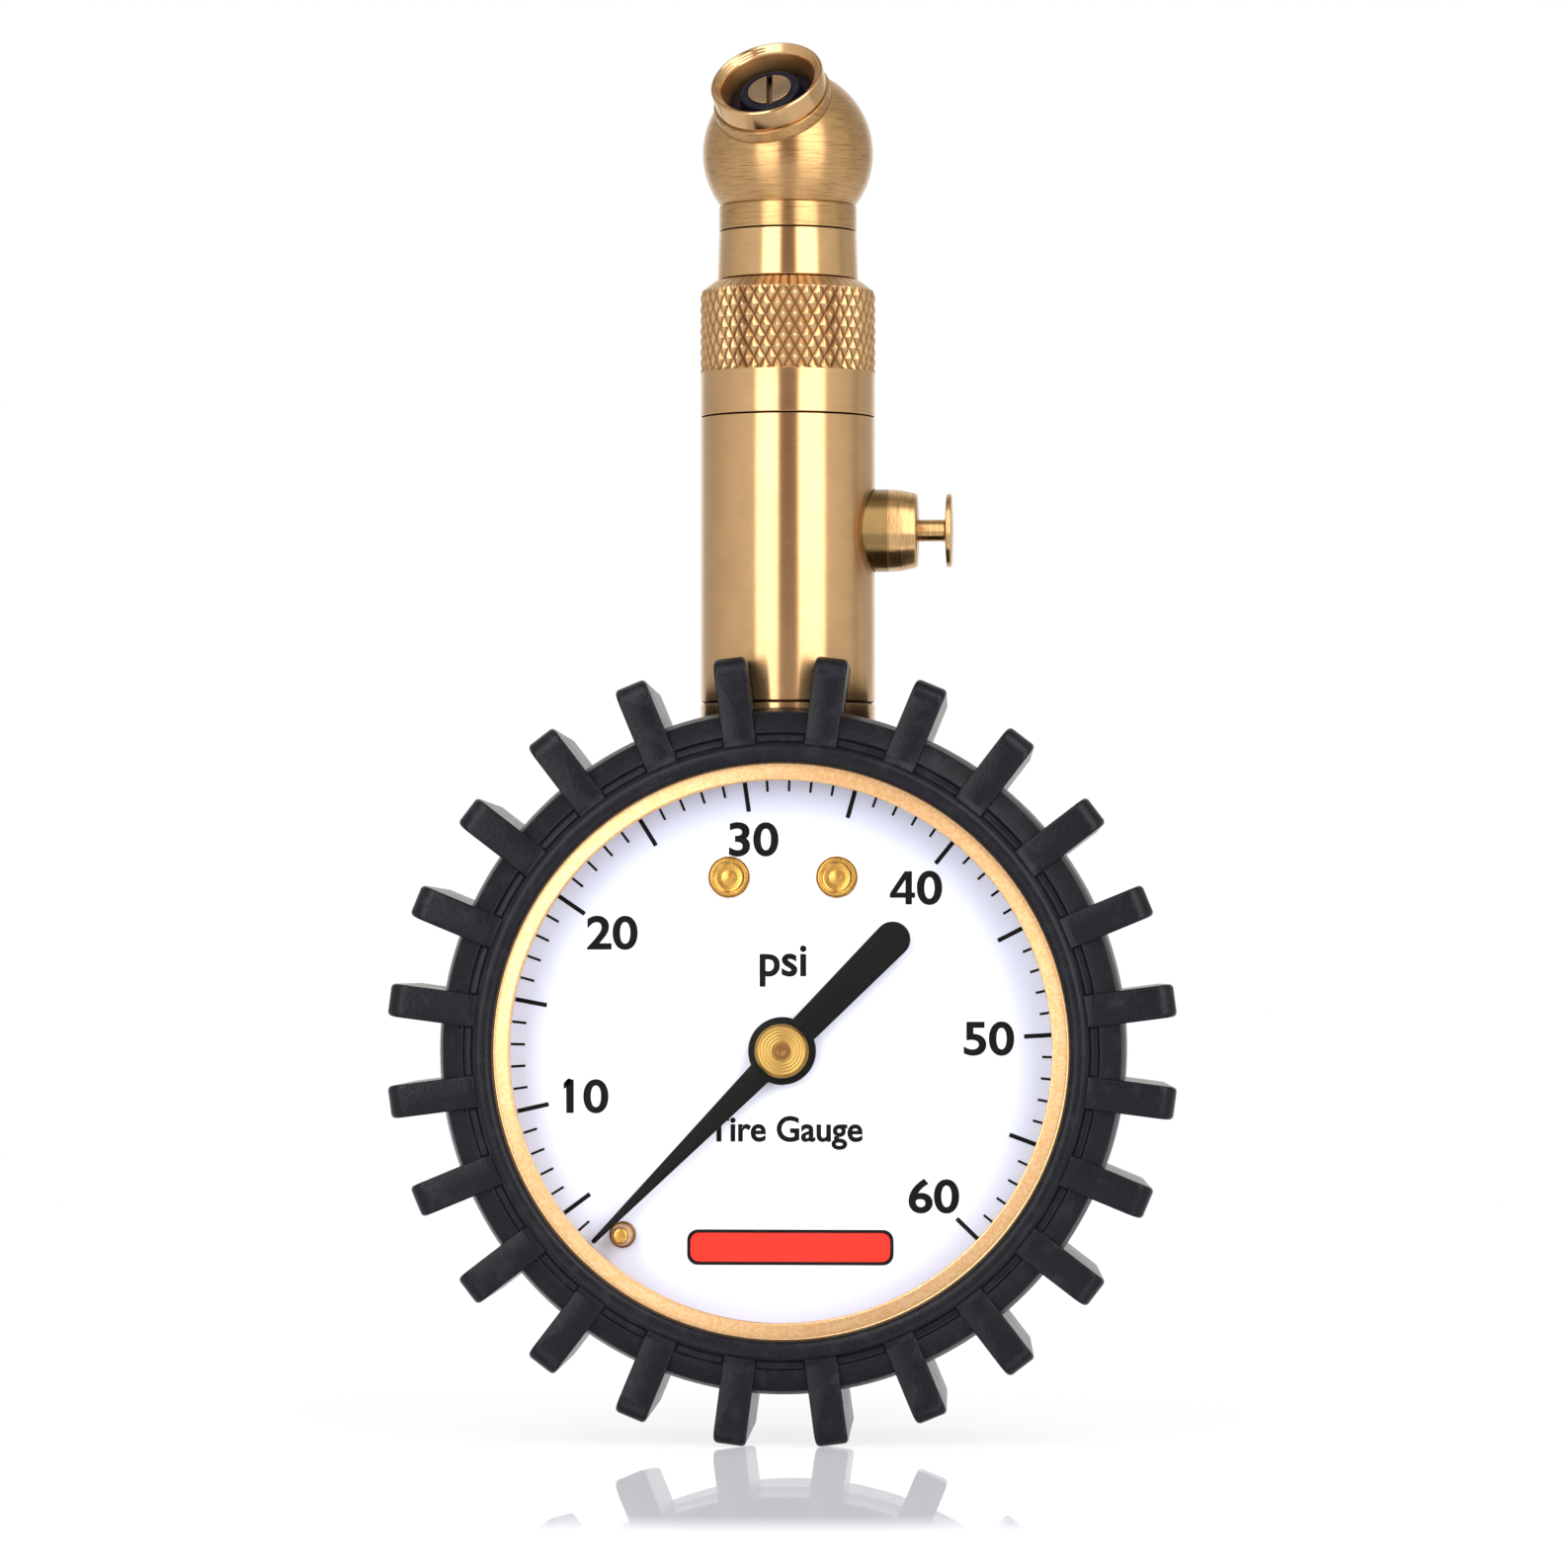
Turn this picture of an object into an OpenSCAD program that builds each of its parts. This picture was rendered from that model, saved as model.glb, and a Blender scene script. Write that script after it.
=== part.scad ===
// Dial tyre pressure gauge with a brass stem, a swivelling ball chuck, a side
// bleeder button and a lugged rubber guard. It stands on its two lowest lugs:
// z = 0 is the floor, the stem's axis is the Z axis and the dial faces -Y.

/* [Rubber guard] */
// Radius at the lugs' tips
lug_tip_r = 35.5; // [34:0.1:38]
// Width of one lug
lug_w = 2.95; // [2:0.05:4]
// Number of lugs
lug_count = 24; // [20:2:28]
// How far the lugs run back from their front face
lug_depth = 14; // [10:0.5:16]
// Outer radius of the ring between the lugs
guard_r = 30.8; // [30:0.1:32]
// Depth of the whole guard, front lip to back
guard_depth = 26; // [25.4:0.1:27]

/* [Dial and case] */
// Outer radius of the bezel
bezel_r = 25.75; // [25.6:0.05:26]
// Radius of the opening in the bezel
bezel_opening_r = 24.25; // [23.5:0.05:24.6]
// Wall thickness of the drawn case
case_wall = 0.5; // [0.4:0.05:0.6]
// Distance between the two dial screws
dial_screw_gap = 9.7; // [9:0.1:12]
// Angle of the pointer at rest, counter-clockwise from the right
pointer_rest_angle = 225.3; // [224:0.1:226]
// Angle of the stop pin, counter-clockwise from the right
stop_pin_angle = 228.9; // [228.8:0.1:230]

/* [Stem] */
// Diameter of the brass bar
stem_d = 15.875; // [15.5:0.005:16.2]
// Height of the stem's lower end above the floor
stem_base_z = 67; // [66.9:0.1:67.4]
// Length of the stem below the gland nut
stem_len = 25.8; // [25:0.1:28]
// Length of the knurled gland nut with its plain band
nut_len = 12.4; // [12:0.1:14]
// Diameter of the neck
neck_d = 12.6; // [12:0.1:13]

/* [Chuck] */
// Diameter of the ball
ball_d = 15.5; // [15:0.1:16.5]
// Tilt of the chuck's mouth away from the stem's axis
chuck_tilt = 45; // [40:1:50]
// Angle that the head is swivelled to at rest
head_swivel = -15; // [-60:1:60]
// Inner diameter of the chuck, which goes over a tyre valve
socket_d = 8; // [7.9:0.05:8.2]

/* [Bleeder] */
// Height of the bleeder's axis above the floor
bleeder_z = 82.5; // [82:0.1:83]
// Diameter of the button's disc
button_d = 6.7; // [6:0.1:7.5]
// Travel of the button
button_travel = 2; // [1.5:0.1:2]

/* [Movement] */
// Turns of the pointer for one turn of the sector gear
gear_ratio = 8; // [8:1:8]
// Teeth on the pointer's pinion
pinion_teeth = 12; // [12:1:12]
// Gear module
gear_module = 0.3; // [0.29:0.01:0.3]

/* [Hidden] */
$fn = 96;

brass = "#c59a5f";
bright_brass = "#d3a96c";
gold_plate = "#e8bd80";
black_rubber = "#26272b";
steel = "#b9bcc0";

// Dial side. Heights here are measured from the stem's axis towards the viewer.
lug_pitch = 360 / lug_count;
lug_half_angle = asin(lug_w / 2 / lug_tip_r);
dial_z = lug_tip_r * cos(lug_pitch / 2 - lug_half_angle);
lip_h = guard_depth / 2;
lug_front = lip_h - 0.8;
bezel_front = 12.2;
bezel_back = 7;
bezel_skin = 0.45;
flange_back = bezel_front - 0.6;
case_r = bezel_r - bezel_skin - 0.02;
case_in_r = case_r - case_wall;
case_front = 10.6;
case_back = -11.2;
lens_back = 10.8;
dial_front = 7.6;
dial_thick = 0.5;
dial_back = dial_front - dial_thick;
guard_back_opening_r = 20.5;

// Movement, stacked between the tube and the dial
tube_r = 20.5;
tube_thick = 1.6;
tube_half_w = 3.5;
tube_start = 70;
tube_end = -200;
plate_thick = 0.6;
back_plate_h = 3.8;
front_plate_h = 6.1;
gear_h = 4.7;
gear_thick = 0.8;
pinion_r = gear_module * pinion_teeth / 2;
sector_r = pinion_r * gear_ratio;
sector_teeth = pinion_teeth * gear_ratio;
sector_pivot_angle = 235;
sector_pivot = (pinion_r + sector_r) * [cos(sector_pivot_angle), sin(sector_pivot_angle)];
pinion_phase = 0.5;
backlash_angle = 0.9;
tail_len = 6;
tail_angle = 128;
tail_end = sector_pivot + tail_len * [cos(tail_angle), sin(tail_angle)];
tip_angle = 157;
tip_pin = tube_r * [cos(tip_angle), sin(tip_angle)];
pillar_spots = [[8.6, 6.4], [6.8, -8.4], [-8.6, 6.4]];

// Socket block at the top of the case
block_half_w = 6.5;
block_bottom = 11;
block_top = 21.5;
shoulder_r = 6.5;
nipple_r = 4.85;
washer_thick = 0.4;
shoulder_top = stem_base_z - washer_thick;
nipple_len = 9.6;
dial_screw_y = 15.6;
case_screw_x = 4;
case_screw_y = 16;
screw_shank_r = 0.8;

// Pointer
hub_h = 8.9;
hub_thick = 0.5;
hub_r = 3.05;
cap_boss_r = 1.15;
arbor_r = 0.6;
stop_pin_r = 22;

// Stem and swivel, heights above the floor
stem_r = stem_d / 2;
stem_top = stem_base_z + stem_len;
skirt_base_z = stem_base_z - 2.4;
boss_r = 6;
boss_top = stem_top + 6;
nut_top = stem_top + nut_len;
nut_ceiling = nut_top - 3.5;
neck_r = neck_d / 2;
neck_base = nut_top + 0.1;
neck_top = neck_base + 4.4;
spigot_r = 4.5;
running_gap = 0.05;
gland_r = 5.7;
tail_r = 3.55;
bore_r = 1.3;
seat_z = stem_top - 1.3;
chamber_floor = seat_z - 5.7;

// Ball head
ball_r = ball_d / 2;
ball_z = neck_top + 7.15;
socket_r = socket_d / 2;
seal_r = socket_r + 0.2;
face_d = 8.8;
band_d = 6.7;
band_r = 5.38;
rim_r = 5.16;
seal_top_d = 6.2;
thread_r = 4.65;
pocket_d = 3.4;

// Bleeder, distances along +X from the stem's axis
spotface_x = 6.4;
boss_end_x = 11.85;
seat_x = 3.5;
disc_x = 14.4;
disc_thick = 0.55;
chamber_end_x = -4.8;

// ---------------------------------------------------------------- helpers

// Stands children on the dial's axis: their +Z points to the viewer and +Y up.
module on_dial() { translate([0, 0, dial_z]) rotate([90, 0, 0]) children(); }

// Lays children along the bleeder's axis: their +Z points to +X.
module on_bleeder() { translate([0, 0, bleeder_z]) rotate([0, 90, 0]) children(); }

// Puts children on the chuck's axis, with their origin at the ball's centre.
module on_chuck() {
    translate([0, 0, ball_z]) rotate([0, 0, head_swivel]) rotate([chuck_tilt, 0, 0]) children();
}

// A cylinder between two heights.
module rod(r, from, to) { translate([0, 0, from]) cylinder(r = r, h = to - from); }

// A cone between two heights.
module cone(r_from, r_to, from, to) { translate([0, 0, from]) cylinder(r1 = r_from, r2 = r_to, h = to - from); }

// A tube between two heights.
module sleeve(r_out, r_in, from, to) {
    difference() {
        rod(r_out, from, to);
        rod(r_in, from - 1, to + 1);
    }
}

// A section of a ring: radius and height ranges.
module ring_section(r_in, r_out, from, to) { translate([r_in, from]) square([r_out - r_in, to - from]); }

// One flank point of an involute gear tooth at radius r.
function involute_half_angle(r, base_r) =
    let (t = sqrt(max(0, pow(r / base_r, 2) - 1))) t * 180 / PI - atan(t);

// Outline of one gear tooth that points along +X.
function tooth_points(pitch_r, teeth, mod, top, bottom) =
    let (base_r = pitch_r * cos(20),
         half_pitch = 90 / teeth - backlash_angle * pinion_r / pitch_r / 2,
         at_pitch = involute_half_angle(pitch_r, base_r),
         root_r = pitch_r - bottom * mod,
         steps = [for (i = [0:4]) max(root_r, base_r) + i / 4 * (pitch_r + top * mod - max(root_r, base_r))],
         flank = [for (r = steps) [r, half_pitch + at_pitch - involute_half_angle(r, base_r)]],
         foot = [[root_r - 0.05, flank[0][1]]])
    concat([for (p = concat(foot, flank)) p[0] * [cos(-p[1]), sin(-p[1])]],
           [for (i = [4:-1:0]) flank[i][0] * [cos(flank[i][1]), sin(flank[i][1])]],
           [(root_r - 0.05) * [cos(foot[0][1]), sin(foot[0][1])]]);

// Points of a helix of radius r along +Z.
function helix_points(r, height, turns, per_turn) =
    [for (i = [0:turns * per_turn]) let (a = i * 360 / per_turn)
        [r * cos(a), r * sin(a), height * i / (turns * per_turn)]];

// A round wire swept along points; the section stays in the plane through the axis.
module helix_wire(r, wire_r, height, turns, per_turn = 16, sides = 8) {
    path = helix_points(r, height, turns, per_turn);
    count = len(path);
    rings = [for (i = [0:count - 1]) for (k = [0:sides - 1])
        let (a = i * 360 / per_turn, b = k * 360 / sides)
        [(r + wire_r * cos(b)) * cos(a), (r + wire_r * cos(b)) * sin(a), path[i][2] + wire_r * sin(b)]];
    walls = [for (i = [0:count - 2]) for (k = [0:sides - 1])
        let (a = i * sides + k, b = i * sides + (k + 1) % sides) [a, b, b + sides, a + sides]];
    polyhedron(rings, concat([[for (k = [0:sides - 1]) k]], walls,
        [[for (k = [sides - 1:-1:0]) (count - 1) * sides + k]]));
}

// ---------------------------------------------------------------- guard

module guard_section() {
    bead_r = 1.15;
    difference() {
        union() {
            ring_section(bezel_r, 28.4, bezel_back, lip_h - bead_r);
            translate([bezel_r + bead_r, lip_h - bead_r]) circle(r = bead_r);
            ring_section(case_r, 28.4, -lip_h + 1.6, bezel_back);
            // band, rounded towards the back
            polygon([[28.2, -lip_h], [28.2, lug_front - 0.1], [28.6, lug_front - 0.1], [guard_r - 0.3, 10.4],
                [guard_r, 9.8], [guard_r, -9.4], [guard_r - 0.7, -11.2], [guard_r - 2, -lip_h + 0.3],
                [guard_r - 2.6, -lip_h]]);
            ring_section(guard_back_opening_r + 0.4, 28.3, -lip_h, -lip_h + 1.7);
            translate([guard_back_opening_r + 0.85, -lip_h + 0.85]) circle(r = 0.85);
        }
        translate([28.2, lug_front - 0.1]) circle(r = 0.35);
    }
}

module lug_section() {
    crown_r = 1.6;
    drop = 0.9;
    tip = lug_tip_r - crown_r;
    translate([28.6, lug_front - lug_depth]) square([tip - 28.6, lug_depth]);
    translate([tip, lug_front - crown_r]) circle(r = crown_r);
    polygon([[tip - 0.1, lug_front - lug_depth], [lug_tip_r - drop, lug_front - lug_depth],
        [lug_tip_r, lug_front - crown_r], [tip - 0.1, lug_front - crown_r]]);
}

module guard() {
    color(black_rubber) difference() {
        on_dial() union() {
            rotate_extrude() guard_section();
            intersection() {
                rotate_extrude() lug_section();
                for (i = [0:lug_count - 1]) rotate([0, 0, (i + 0.5) * lug_pitch])
                    translate([27, -lug_w / 2, -lip_h]) cube([12, lug_w, guard_depth]);
            }
        }
        rod(stem_r + 0.05, skirt_base_z - 0.05, stem_top);
        rod(shoulder_r + 0.1, dial_z + 20, stem_top);
    }
}

// ---------------------------------------------------------------- case and dial

module case() {
    corner = 1.8;
    color(gold_plate) difference() {
        on_dial() difference() {
            rotate_extrude() difference() {
                union() {
                    ring_section(0, case_r - corner, case_back, case_front);
                    ring_section(0, case_r, case_back + corner, case_front);
                    translate([case_r - corner, case_back + corner]) circle(r = corner);
                }
                ring_section(-1, case_in_r, case_back + corner, case_front + 1);
                ring_section(-1, case_in_r - corner + case_wall, case_back + case_wall, case_back + corner + 1);
                translate([case_r - corner, case_back + corner]) circle(r = corner - case_wall);
            }
            for (side = [-1, 1]) translate([side * case_screw_x, case_screw_y, 0]) rod(1.25, case_back - 1, case_back + 2);
            translate([0, -13, 0]) rod(4.5, case_back - 1, case_back + 2);
        }
        rod(shoulder_r + 0.02, dial_z + 20, stem_base_z);
    }
}

module bezel() {
    color(gold_plate) on_dial() rotate_extrude() {
        ring_section(bezel_r - bezel_skin, bezel_r, bezel_back, bezel_front - 0.3);
        ring_section(bezel_opening_r + 0.2, bezel_r - 0.3, flange_back, bezel_front);
        translate([bezel_opening_r + 0.3, flange_back + 0.3]) circle(r = 0.3);
        translate([bezel_r - 0.3, bezel_front - 0.3]) circle(r = 0.3);
    }
}

module lens() { color([0.9, 0.95, 1, 0.3]) on_dial() rod(case_r - 0.05, lens_back, flange_back); }

module lens_gasket() { color("#303236") on_dial() sleeve(case_r, case_in_r - 0.1, case_front, lens_back); }

module dial() {
    color("white") on_dial() difference() {
        rod(case_in_r - 0.05, dial_back, dial_front);
        rod(1.4, dial_back - 1, dial_front + 1);
        for (side = [-1, 1]) translate([side * dial_screw_gap / 2, dial_screw_y, 0])
            rod(screw_shank_r, dial_back - 1, dial_front + 1);
        rotate([0, 0, stop_pin_angle]) translate([stop_pin_r, 0, 0]) rod(0.6, dial_back - 1, dial_front + 1);
    }
}

module dial_screws() {
    color(bright_brass) on_dial() for (side = [-1, 1]) translate([side * dial_screw_gap / 2, dial_screw_y, 0]) {
        rod(screw_shank_r, 1.2, dial_front);
        difference() {
            union() {
                rod(1.87, dial_front, dial_front + 0.35);
                cone(1.87, 1.6, dial_front + 0.35, dial_front + 0.6);
            }
            rod(1.25, dial_front + 0.3, dial_front + 1);
        }
        rod(0.5, dial_front, dial_front + 0.5);
    }
}

module dial_spacers() {
    color(steel) on_dial() for (side = [-1, 1]) translate([side * dial_screw_gap / 2, dial_screw_y, 0])
        sleeve(1.6, screw_shank_r, back_plate_h, dial_back);
}

module stop_pin() {
    color(bright_brass) on_dial() rotate([0, 0, stop_pin_angle]) translate([stop_pin_r, 0, 0]) {
        rod(0.6, dial_back - 0.3, dial_front);
        rod(1.2, dial_front, dial_front + 0.5);
        cone(1, 0.7, dial_front + 0.5, lens_back - 0.3);
    }
}

// ---------------------------------------------------------------- pressure element

module socket_block() {
    color(brass) difference() {
        union() {
            on_dial() translate([-block_half_w, block_bottom, case_back + case_wall])
                cube([2 * block_half_w, block_top - block_bottom, back_plate_h - case_back - case_wall]);
            rod(shoulder_r, dial_z + block_bottom + 6.4, shoulder_top);
            rod(nipple_r, shoulder_top, shoulder_top + nipple_len);
        }
        rod(1.5, dial_z + 19, stem_base_z + 20);
        rod(2.3, shoulder_top + nipple_len - 3.4, stem_base_z + 20);
        on_dial() {
            // passage into the fixed end of the tube
            translate([0, 19.6, 0]) rotate([0, 90, 0]) rod(0.6, 0, block_half_w + 1);
            for (side = [-1, 1]) {
                translate([side * dial_screw_gap / 2, dial_screw_y, 0]) rod(screw_shank_r, 1.2, 5);
                translate([side * case_screw_x, case_screw_y, 0]) rod(1.2, case_back, case_back + 5);
                translate([side * 2.5, block_bottom + 1.6, 0]) rod(0.6, 1.8, 5);
            }
        }
        // flat that clears the tube on its way round
        on_dial() translate([block_half_w - 0.6, tube_r * sin(tube_start) - 3.6, -tube_half_w - 0.1])
            cube([2, 4.6, 2 * tube_half_w + 0.2]);
    }
}

module sealing_washer() { color("#b87348") sleeve(shoulder_r, nipple_r, shoulder_top, stem_base_z); }

module restrictor() {
    top = shoulder_top + nipple_len - 0.4;
    color(bright_brass) difference() {
        rod(2.3, top - 3, top);
        rod(0.3, top - 4, top + 1);
        translate([-3, -0.25, top - 0.6]) cube([6, 0.5, 1]);
    }
}

module flat_oval(thick, half_w) {
    square([thick, 2 * half_w - thick], center = true);
    for (side = [-1, 1]) translate([0, side * (half_w - thick / 2)]) circle(r = thick / 2);
}

module bourdon_tube() {
    color("#c58a5a") on_dial() rotate([0, 0, tube_end]) rotate_extrude(angle = tube_start - tube_end)
        translate([tube_r, 0]) difference() {
            flat_oval(tube_thick, tube_half_w);
            flat_oval(tube_thick - 0.6, tube_half_w - 0.3);
        }
}

module tube_tip() {
    span = 5;
    color(brass) on_dial() {
        rotate([0, 0, tube_end - span]) rotate_extrude(angle = span)
            translate([tube_r, 0]) square([tube_thick + 0.5, 2 * tube_half_w + 0.4], center = true);
        translate([tip_pin[0], tip_pin[1], 0]) rod(0.9, tube_half_w, 5.5);
    }
}

module link() {
    thick = 0.4;
    h = 5.6;
    hole_r = 0.88;
    angle = atan2(tip_pin[1] - tail_end[1], tip_pin[0] - tail_end[0]);
    length = norm(tip_pin - tail_end);
    color(steel) on_dial() translate([tail_end[0], tail_end[1], h]) rotate([0, 0, angle]) difference() {
        union() {
            cylinder(r = 1.5, h = thick);
            translate([0, -0.5, 0]) cube([length, 1, thick]);
            translate([length, 0, 0]) cylinder(r = 1.1, h = thick);
        }
        translate([0, 0, -1]) cylinder(r = hole_r, h = 3);
        translate([length, 0, -1]) cylinder(r = 0.5, h = 3);
    }
}

module link_pin() {
    color(bright_brass) on_dial() translate([tip_pin[0], tip_pin[1], 0]) {
        rod(0.5, 5.5, 6.05);
        rod(0.8, 6.05, 6.3);
    }
}

// ---------------------------------------------------------------- movement

// Outline that both movement plates share.
module plate_outline() {
    hull() {
        translate([0, 1]) circle(r = 5, $fn = 32);
        translate(pillar_spots[1]) circle(r = 2, $fn = 32);
        translate(sector_pivot + [0.6, 0.8]) circle(r = 2, $fn = 32);
        translate(pillar_spots[0]) circle(r = 2, $fn = 32);
        translate(pillar_spots[2]) circle(r = 2, $fn = 32);
    }
}

module plate_holes(pinion_hole, sector_hole) {
    rod(pinion_hole, 0, 10);
    translate([sector_pivot[0], sector_pivot[1], 0]) rod(sector_hole, 0, 10);
    for (p = pillar_spots) translate([p[0], p[1], 0]) rod(0.6, 0, 10);
}

module movement_back_plate() {
    color(bright_brass) on_dial() difference() {
        translate([0, 0, back_plate_h]) linear_extrude(plate_thick) {
            plate_outline();
            translate([-4.5, 0]) square([9, block_bottom + 3]);
        }
        plate_holes(arbor_r - 0.1, arbor_r - 0.1);
        for (side = [-1, 1]) translate([side * 2.5, block_bottom + 1.6, 0]) rod(0.6, 0, 10);
    }
}

module movement_front_plate() {
    color(bright_brass) on_dial() difference() {
        translate([0, 0, front_plate_h]) linear_extrude(plate_thick) difference() {
            plate_outline();
            translate(tail_end) circle(r = 4.4);
        }
        plate_holes(arbor_r + 0.05, arbor_r - 0.1);
    }
}

module movement_pillars() {
    color(brass) on_dial() for (p = pillar_spots) translate([p[0], p[1], 0])
        sleeve(1.1, 0.6, back_plate_h + plate_thick, front_plate_h);
}

module movement_screws() {
    color(steel) on_dial() {
        for (p = pillar_spots) translate([p[0], p[1], 0]) {
            rod(0.6, back_plate_h, front_plate_h + plate_thick);
            difference() {
                rod(1, front_plate_h + plate_thick, front_plate_h + plate_thick + 0.35);
                translate([-1.5, -0.12, front_plate_h + plate_thick + 0.15]) cube([3, 0.24, 1]);
            }
        }
        for (side = [-1, 1]) translate([side * 2.5, block_bottom + 1.6, 0]) {
            rod(0.6, 1.8, back_plate_h + plate_thick);
            difference() {
                rod(1, back_plate_h + plate_thick, back_plate_h + plate_thick + 0.5);
                translate([-1.5, -0.12, back_plate_h + plate_thick + 0.3]) cube([3, 0.24, 1]);
            }
        }
    }
}

// Flat strip wound from r_in to r_out.
module spiral_strip(r_in, r_out, turns, thick, start) {
    steps = turns * 24;
    function at(i, side) = let (r = r_in + (r_out - r_in) * i / steps + side * thick / 2, a = start + i * 15)
        r * [cos(a), sin(a)];
    polygon(concat([for (i = [0:steps]) at(i, 1)], [for (i = [steps:-1:0]) at(i, -1)]));
}

module hairspring() {
    color(steel) on_dial() translate([0, 0, 5.65]) linear_extrude(0.3)
        spiral_strip(1.05, 3.9, 4, 0.12, 0);
}

module hairspring_stud() {
    color(brass) on_dial() translate([4.4, 0, 0]) rod(0.42, 5.55, front_plate_h);
}

module pointer_arbor() {
    tooth = tooth_points(pinion_r, pinion_teeth, gear_module, 0.8, 1.15);
    color(steel) on_dial() {
        rod(arbor_r - 0.15, back_plate_h + 0.05, gear_h);
        rod(arbor_r, gear_h, 10.45);
        rod(0.9, 5.6, 5.98);
        translate([0, 0, gear_h]) linear_extrude(gear_thick + 0.1) {
            circle(r = pinion_r - 1.1 * gear_module);
            for (i = [0:pinion_teeth - 1]) rotate((i + pinion_phase) * 360 / pinion_teeth + sector_pivot_angle)
                polygon(tooth);
        }
    }
}

module sector_gear() {
    tooth = tooth_points(sector_r, sector_teeth, gear_module, 0.8, 1.2);
    step = 360 / sector_teeth;
    rim_r = sector_r - 1.15 * gear_module;
    color(bright_brass) on_dial() translate([sector_pivot[0], sector_pivot[1], gear_h]) difference() {
        linear_extrude(gear_thick) {
            circle(r = 1.9);
            // toothed rim, with the running teeth on the far side from the rest position
            rotate(sector_pivot_angle - 180) {
                for (i = [-11:2]) rotate(i * step) polygon(tooth);
                intersection() {
                    difference() {
                        circle(r = rim_r);
                        circle(r = rim_r - 1.6);
                    }
                    polygon(20 * [[0, 0], [cos(-11.6 * step), sin(-11.6 * step)], [cos(-5 * step), sin(-5 * step)],
                        [cos(2.6 * step), sin(2.6 * step)]]);
                }
                for (i = [-10.5, 1.5]) rotate(i * step) translate([0, -0.6]) square([rim_r - 0.6, 1.2]);
            }
            rotate(tail_angle) translate([0, -0.8]) square([tail_len, 1.6]);
            translate(tail_end - sector_pivot) circle(r = 1.1);
        }
        rod(arbor_r, -1, 2);
    }
}

module sector_arbor() {
    color(steel) on_dial() translate([sector_pivot[0], sector_pivot[1], 0]) {
        rod(arbor_r - 0.15, back_plate_h + 0.05, gear_h);
        rod(arbor_r, gear_h, gear_h + gear_thick);
        rod(arbor_r - 0.15, gear_h + gear_thick, front_plate_h + plate_thick - 0.05);
    }
}

module tail_pin() {
    color(bright_brass) on_dial() translate([tail_end[0], tail_end[1], 0]) rod(0.5, gear_h + gear_thick, 6);
}

// ---------------------------------------------------------------- pointer

module pointer() {
    needle_w = 2.2;
    tip_w = 0.45;
    tip_r = 24;
    tail_r = 14.1;
    tail_w = 2.55;
    tail_end_r = 1.6;
    color("#111111") on_dial() translate([0, 0, hub_h]) difference() {
        linear_extrude(hub_thick) rotate(pointer_rest_angle) {
            circle(r = hub_r);
            polygon([[0.5, -needle_w / 2], [tip_r, -tip_w / 2], [tip_r, tip_w / 2], [0.5, needle_w / 2]]);
            polygon([[-0.5, tail_w / 2], [-tail_r, tail_end_r - 0.03], [-tail_r, -tail_end_r + 0.03],
                [-0.5, -tail_w / 2]]);
            translate([-tail_r, 0]) circle(r = tail_end_r);
        }
        rod(cap_boss_r, -1, 2);
    }
}

module pointer_cap() {
    color(bright_brass) on_dial() difference() {
        union() {
            rod(2.43, hub_h + hub_thick, hub_h + hub_thick + 0.5);
            cone(2.43, 2.1, hub_h + hub_thick + 0.5, hub_h + hub_thick + 0.8);
            rod(cap_boss_r, hub_h - 1, hub_h + hub_thick);
        }
        rod(arbor_r, 0, 20);
    }
}

// ---------------------------------------------------------------- back of the case

module case_screws() {
    color(steel) on_dial() for (side = [-1, 1]) translate([side * case_screw_x, case_screw_y, 0]) {
        rod(1.2, case_back, case_back + 5);
        difference() {
            rod(2.2, case_back - 1.1, case_back);
            translate([-3, -0.3, case_back - 1.2]) cube([6, 0.6, 0.7]);
        }
    }
}

module blowout_plug() {
    color("#3a3b3f") on_dial() translate([0, -13, 0]) {
        rod(4.5, case_back, case_back + case_wall);
        rod(5.2, case_back - 0.7, case_back);
        rod(4.9, case_back + case_wall, case_back + case_wall + 0.6);
    }
}

// ---------------------------------------------------------------- stem

module stem() {
    color(brass) difference() {
        union() {
            rod(stem_r, skirt_base_z, stem_top);
            rod(boss_r, stem_top, boss_top);
        }
        // skirt that hides the washer, with a fine groove level with it
        rod(shoulder_r + 0.05, skirt_base_z - 1, stem_base_z);
        sleeve(stem_r + 1, stem_r - 0.3, stem_base_z - 0.3, stem_base_z - 0.1);
        rod(nipple_r + 0.02, stem_base_z - 1, shoulder_top + nipple_len + 0.6);
        rod(bore_r, stem_base_z, chamber_floor + 1);
        rod(2.8, chamber_floor, seat_z + 1);
        rod(3.6, seat_z, boss_top + 1);
        on_bleeder() {
            rod(2.6, chamber_end_x, seat_x + 1);
            rod(3.25, seat_x, spotface_x + 1);
            rod(3.8, spotface_x, stem_r + 1);
        }
    }
}

module gland_nut() {
    chamfer = 1.05;
    chamfer_in = 1.4;
    color(brass) difference() {
        union() {
            rod(stem_r, stem_top, nut_top - chamfer);
            cone(stem_r, stem_r - chamfer_in, nut_top - chamfer, nut_top);
        }
        rod(boss_r, stem_top - 1, nut_ceiling);
        rod(spigot_r + running_gap, stem_top, nut_top + 1);
    }
}

module check_seat() {
    color(bright_brass) difference() {
        rod(3.6, seat_z, seat_z + 2.6);
        rod(1.2, seat_z - 1, seat_z + 3);
        translate([-4, -0.5, seat_z + 1.8]) cube([8, 1, 2]);
    }
}

module check_poppet() {
    color("#2e2f33") {
        rod(2.3, seat_z - 1.25, seat_z - 0.03);
        rod(0.9, seat_z - 3.2, seat_z - 1.25);
    }
}

module check_spring() {
    wire_r = 0.17;
    height = seat_z - 1.25 - chamber_floor - 2 * wire_r - 0.04;
    color(steel) translate([0, 0, chamber_floor + wire_r + 0.01]) helix_wire(1.75, wire_r, height, 5);
}

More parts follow.
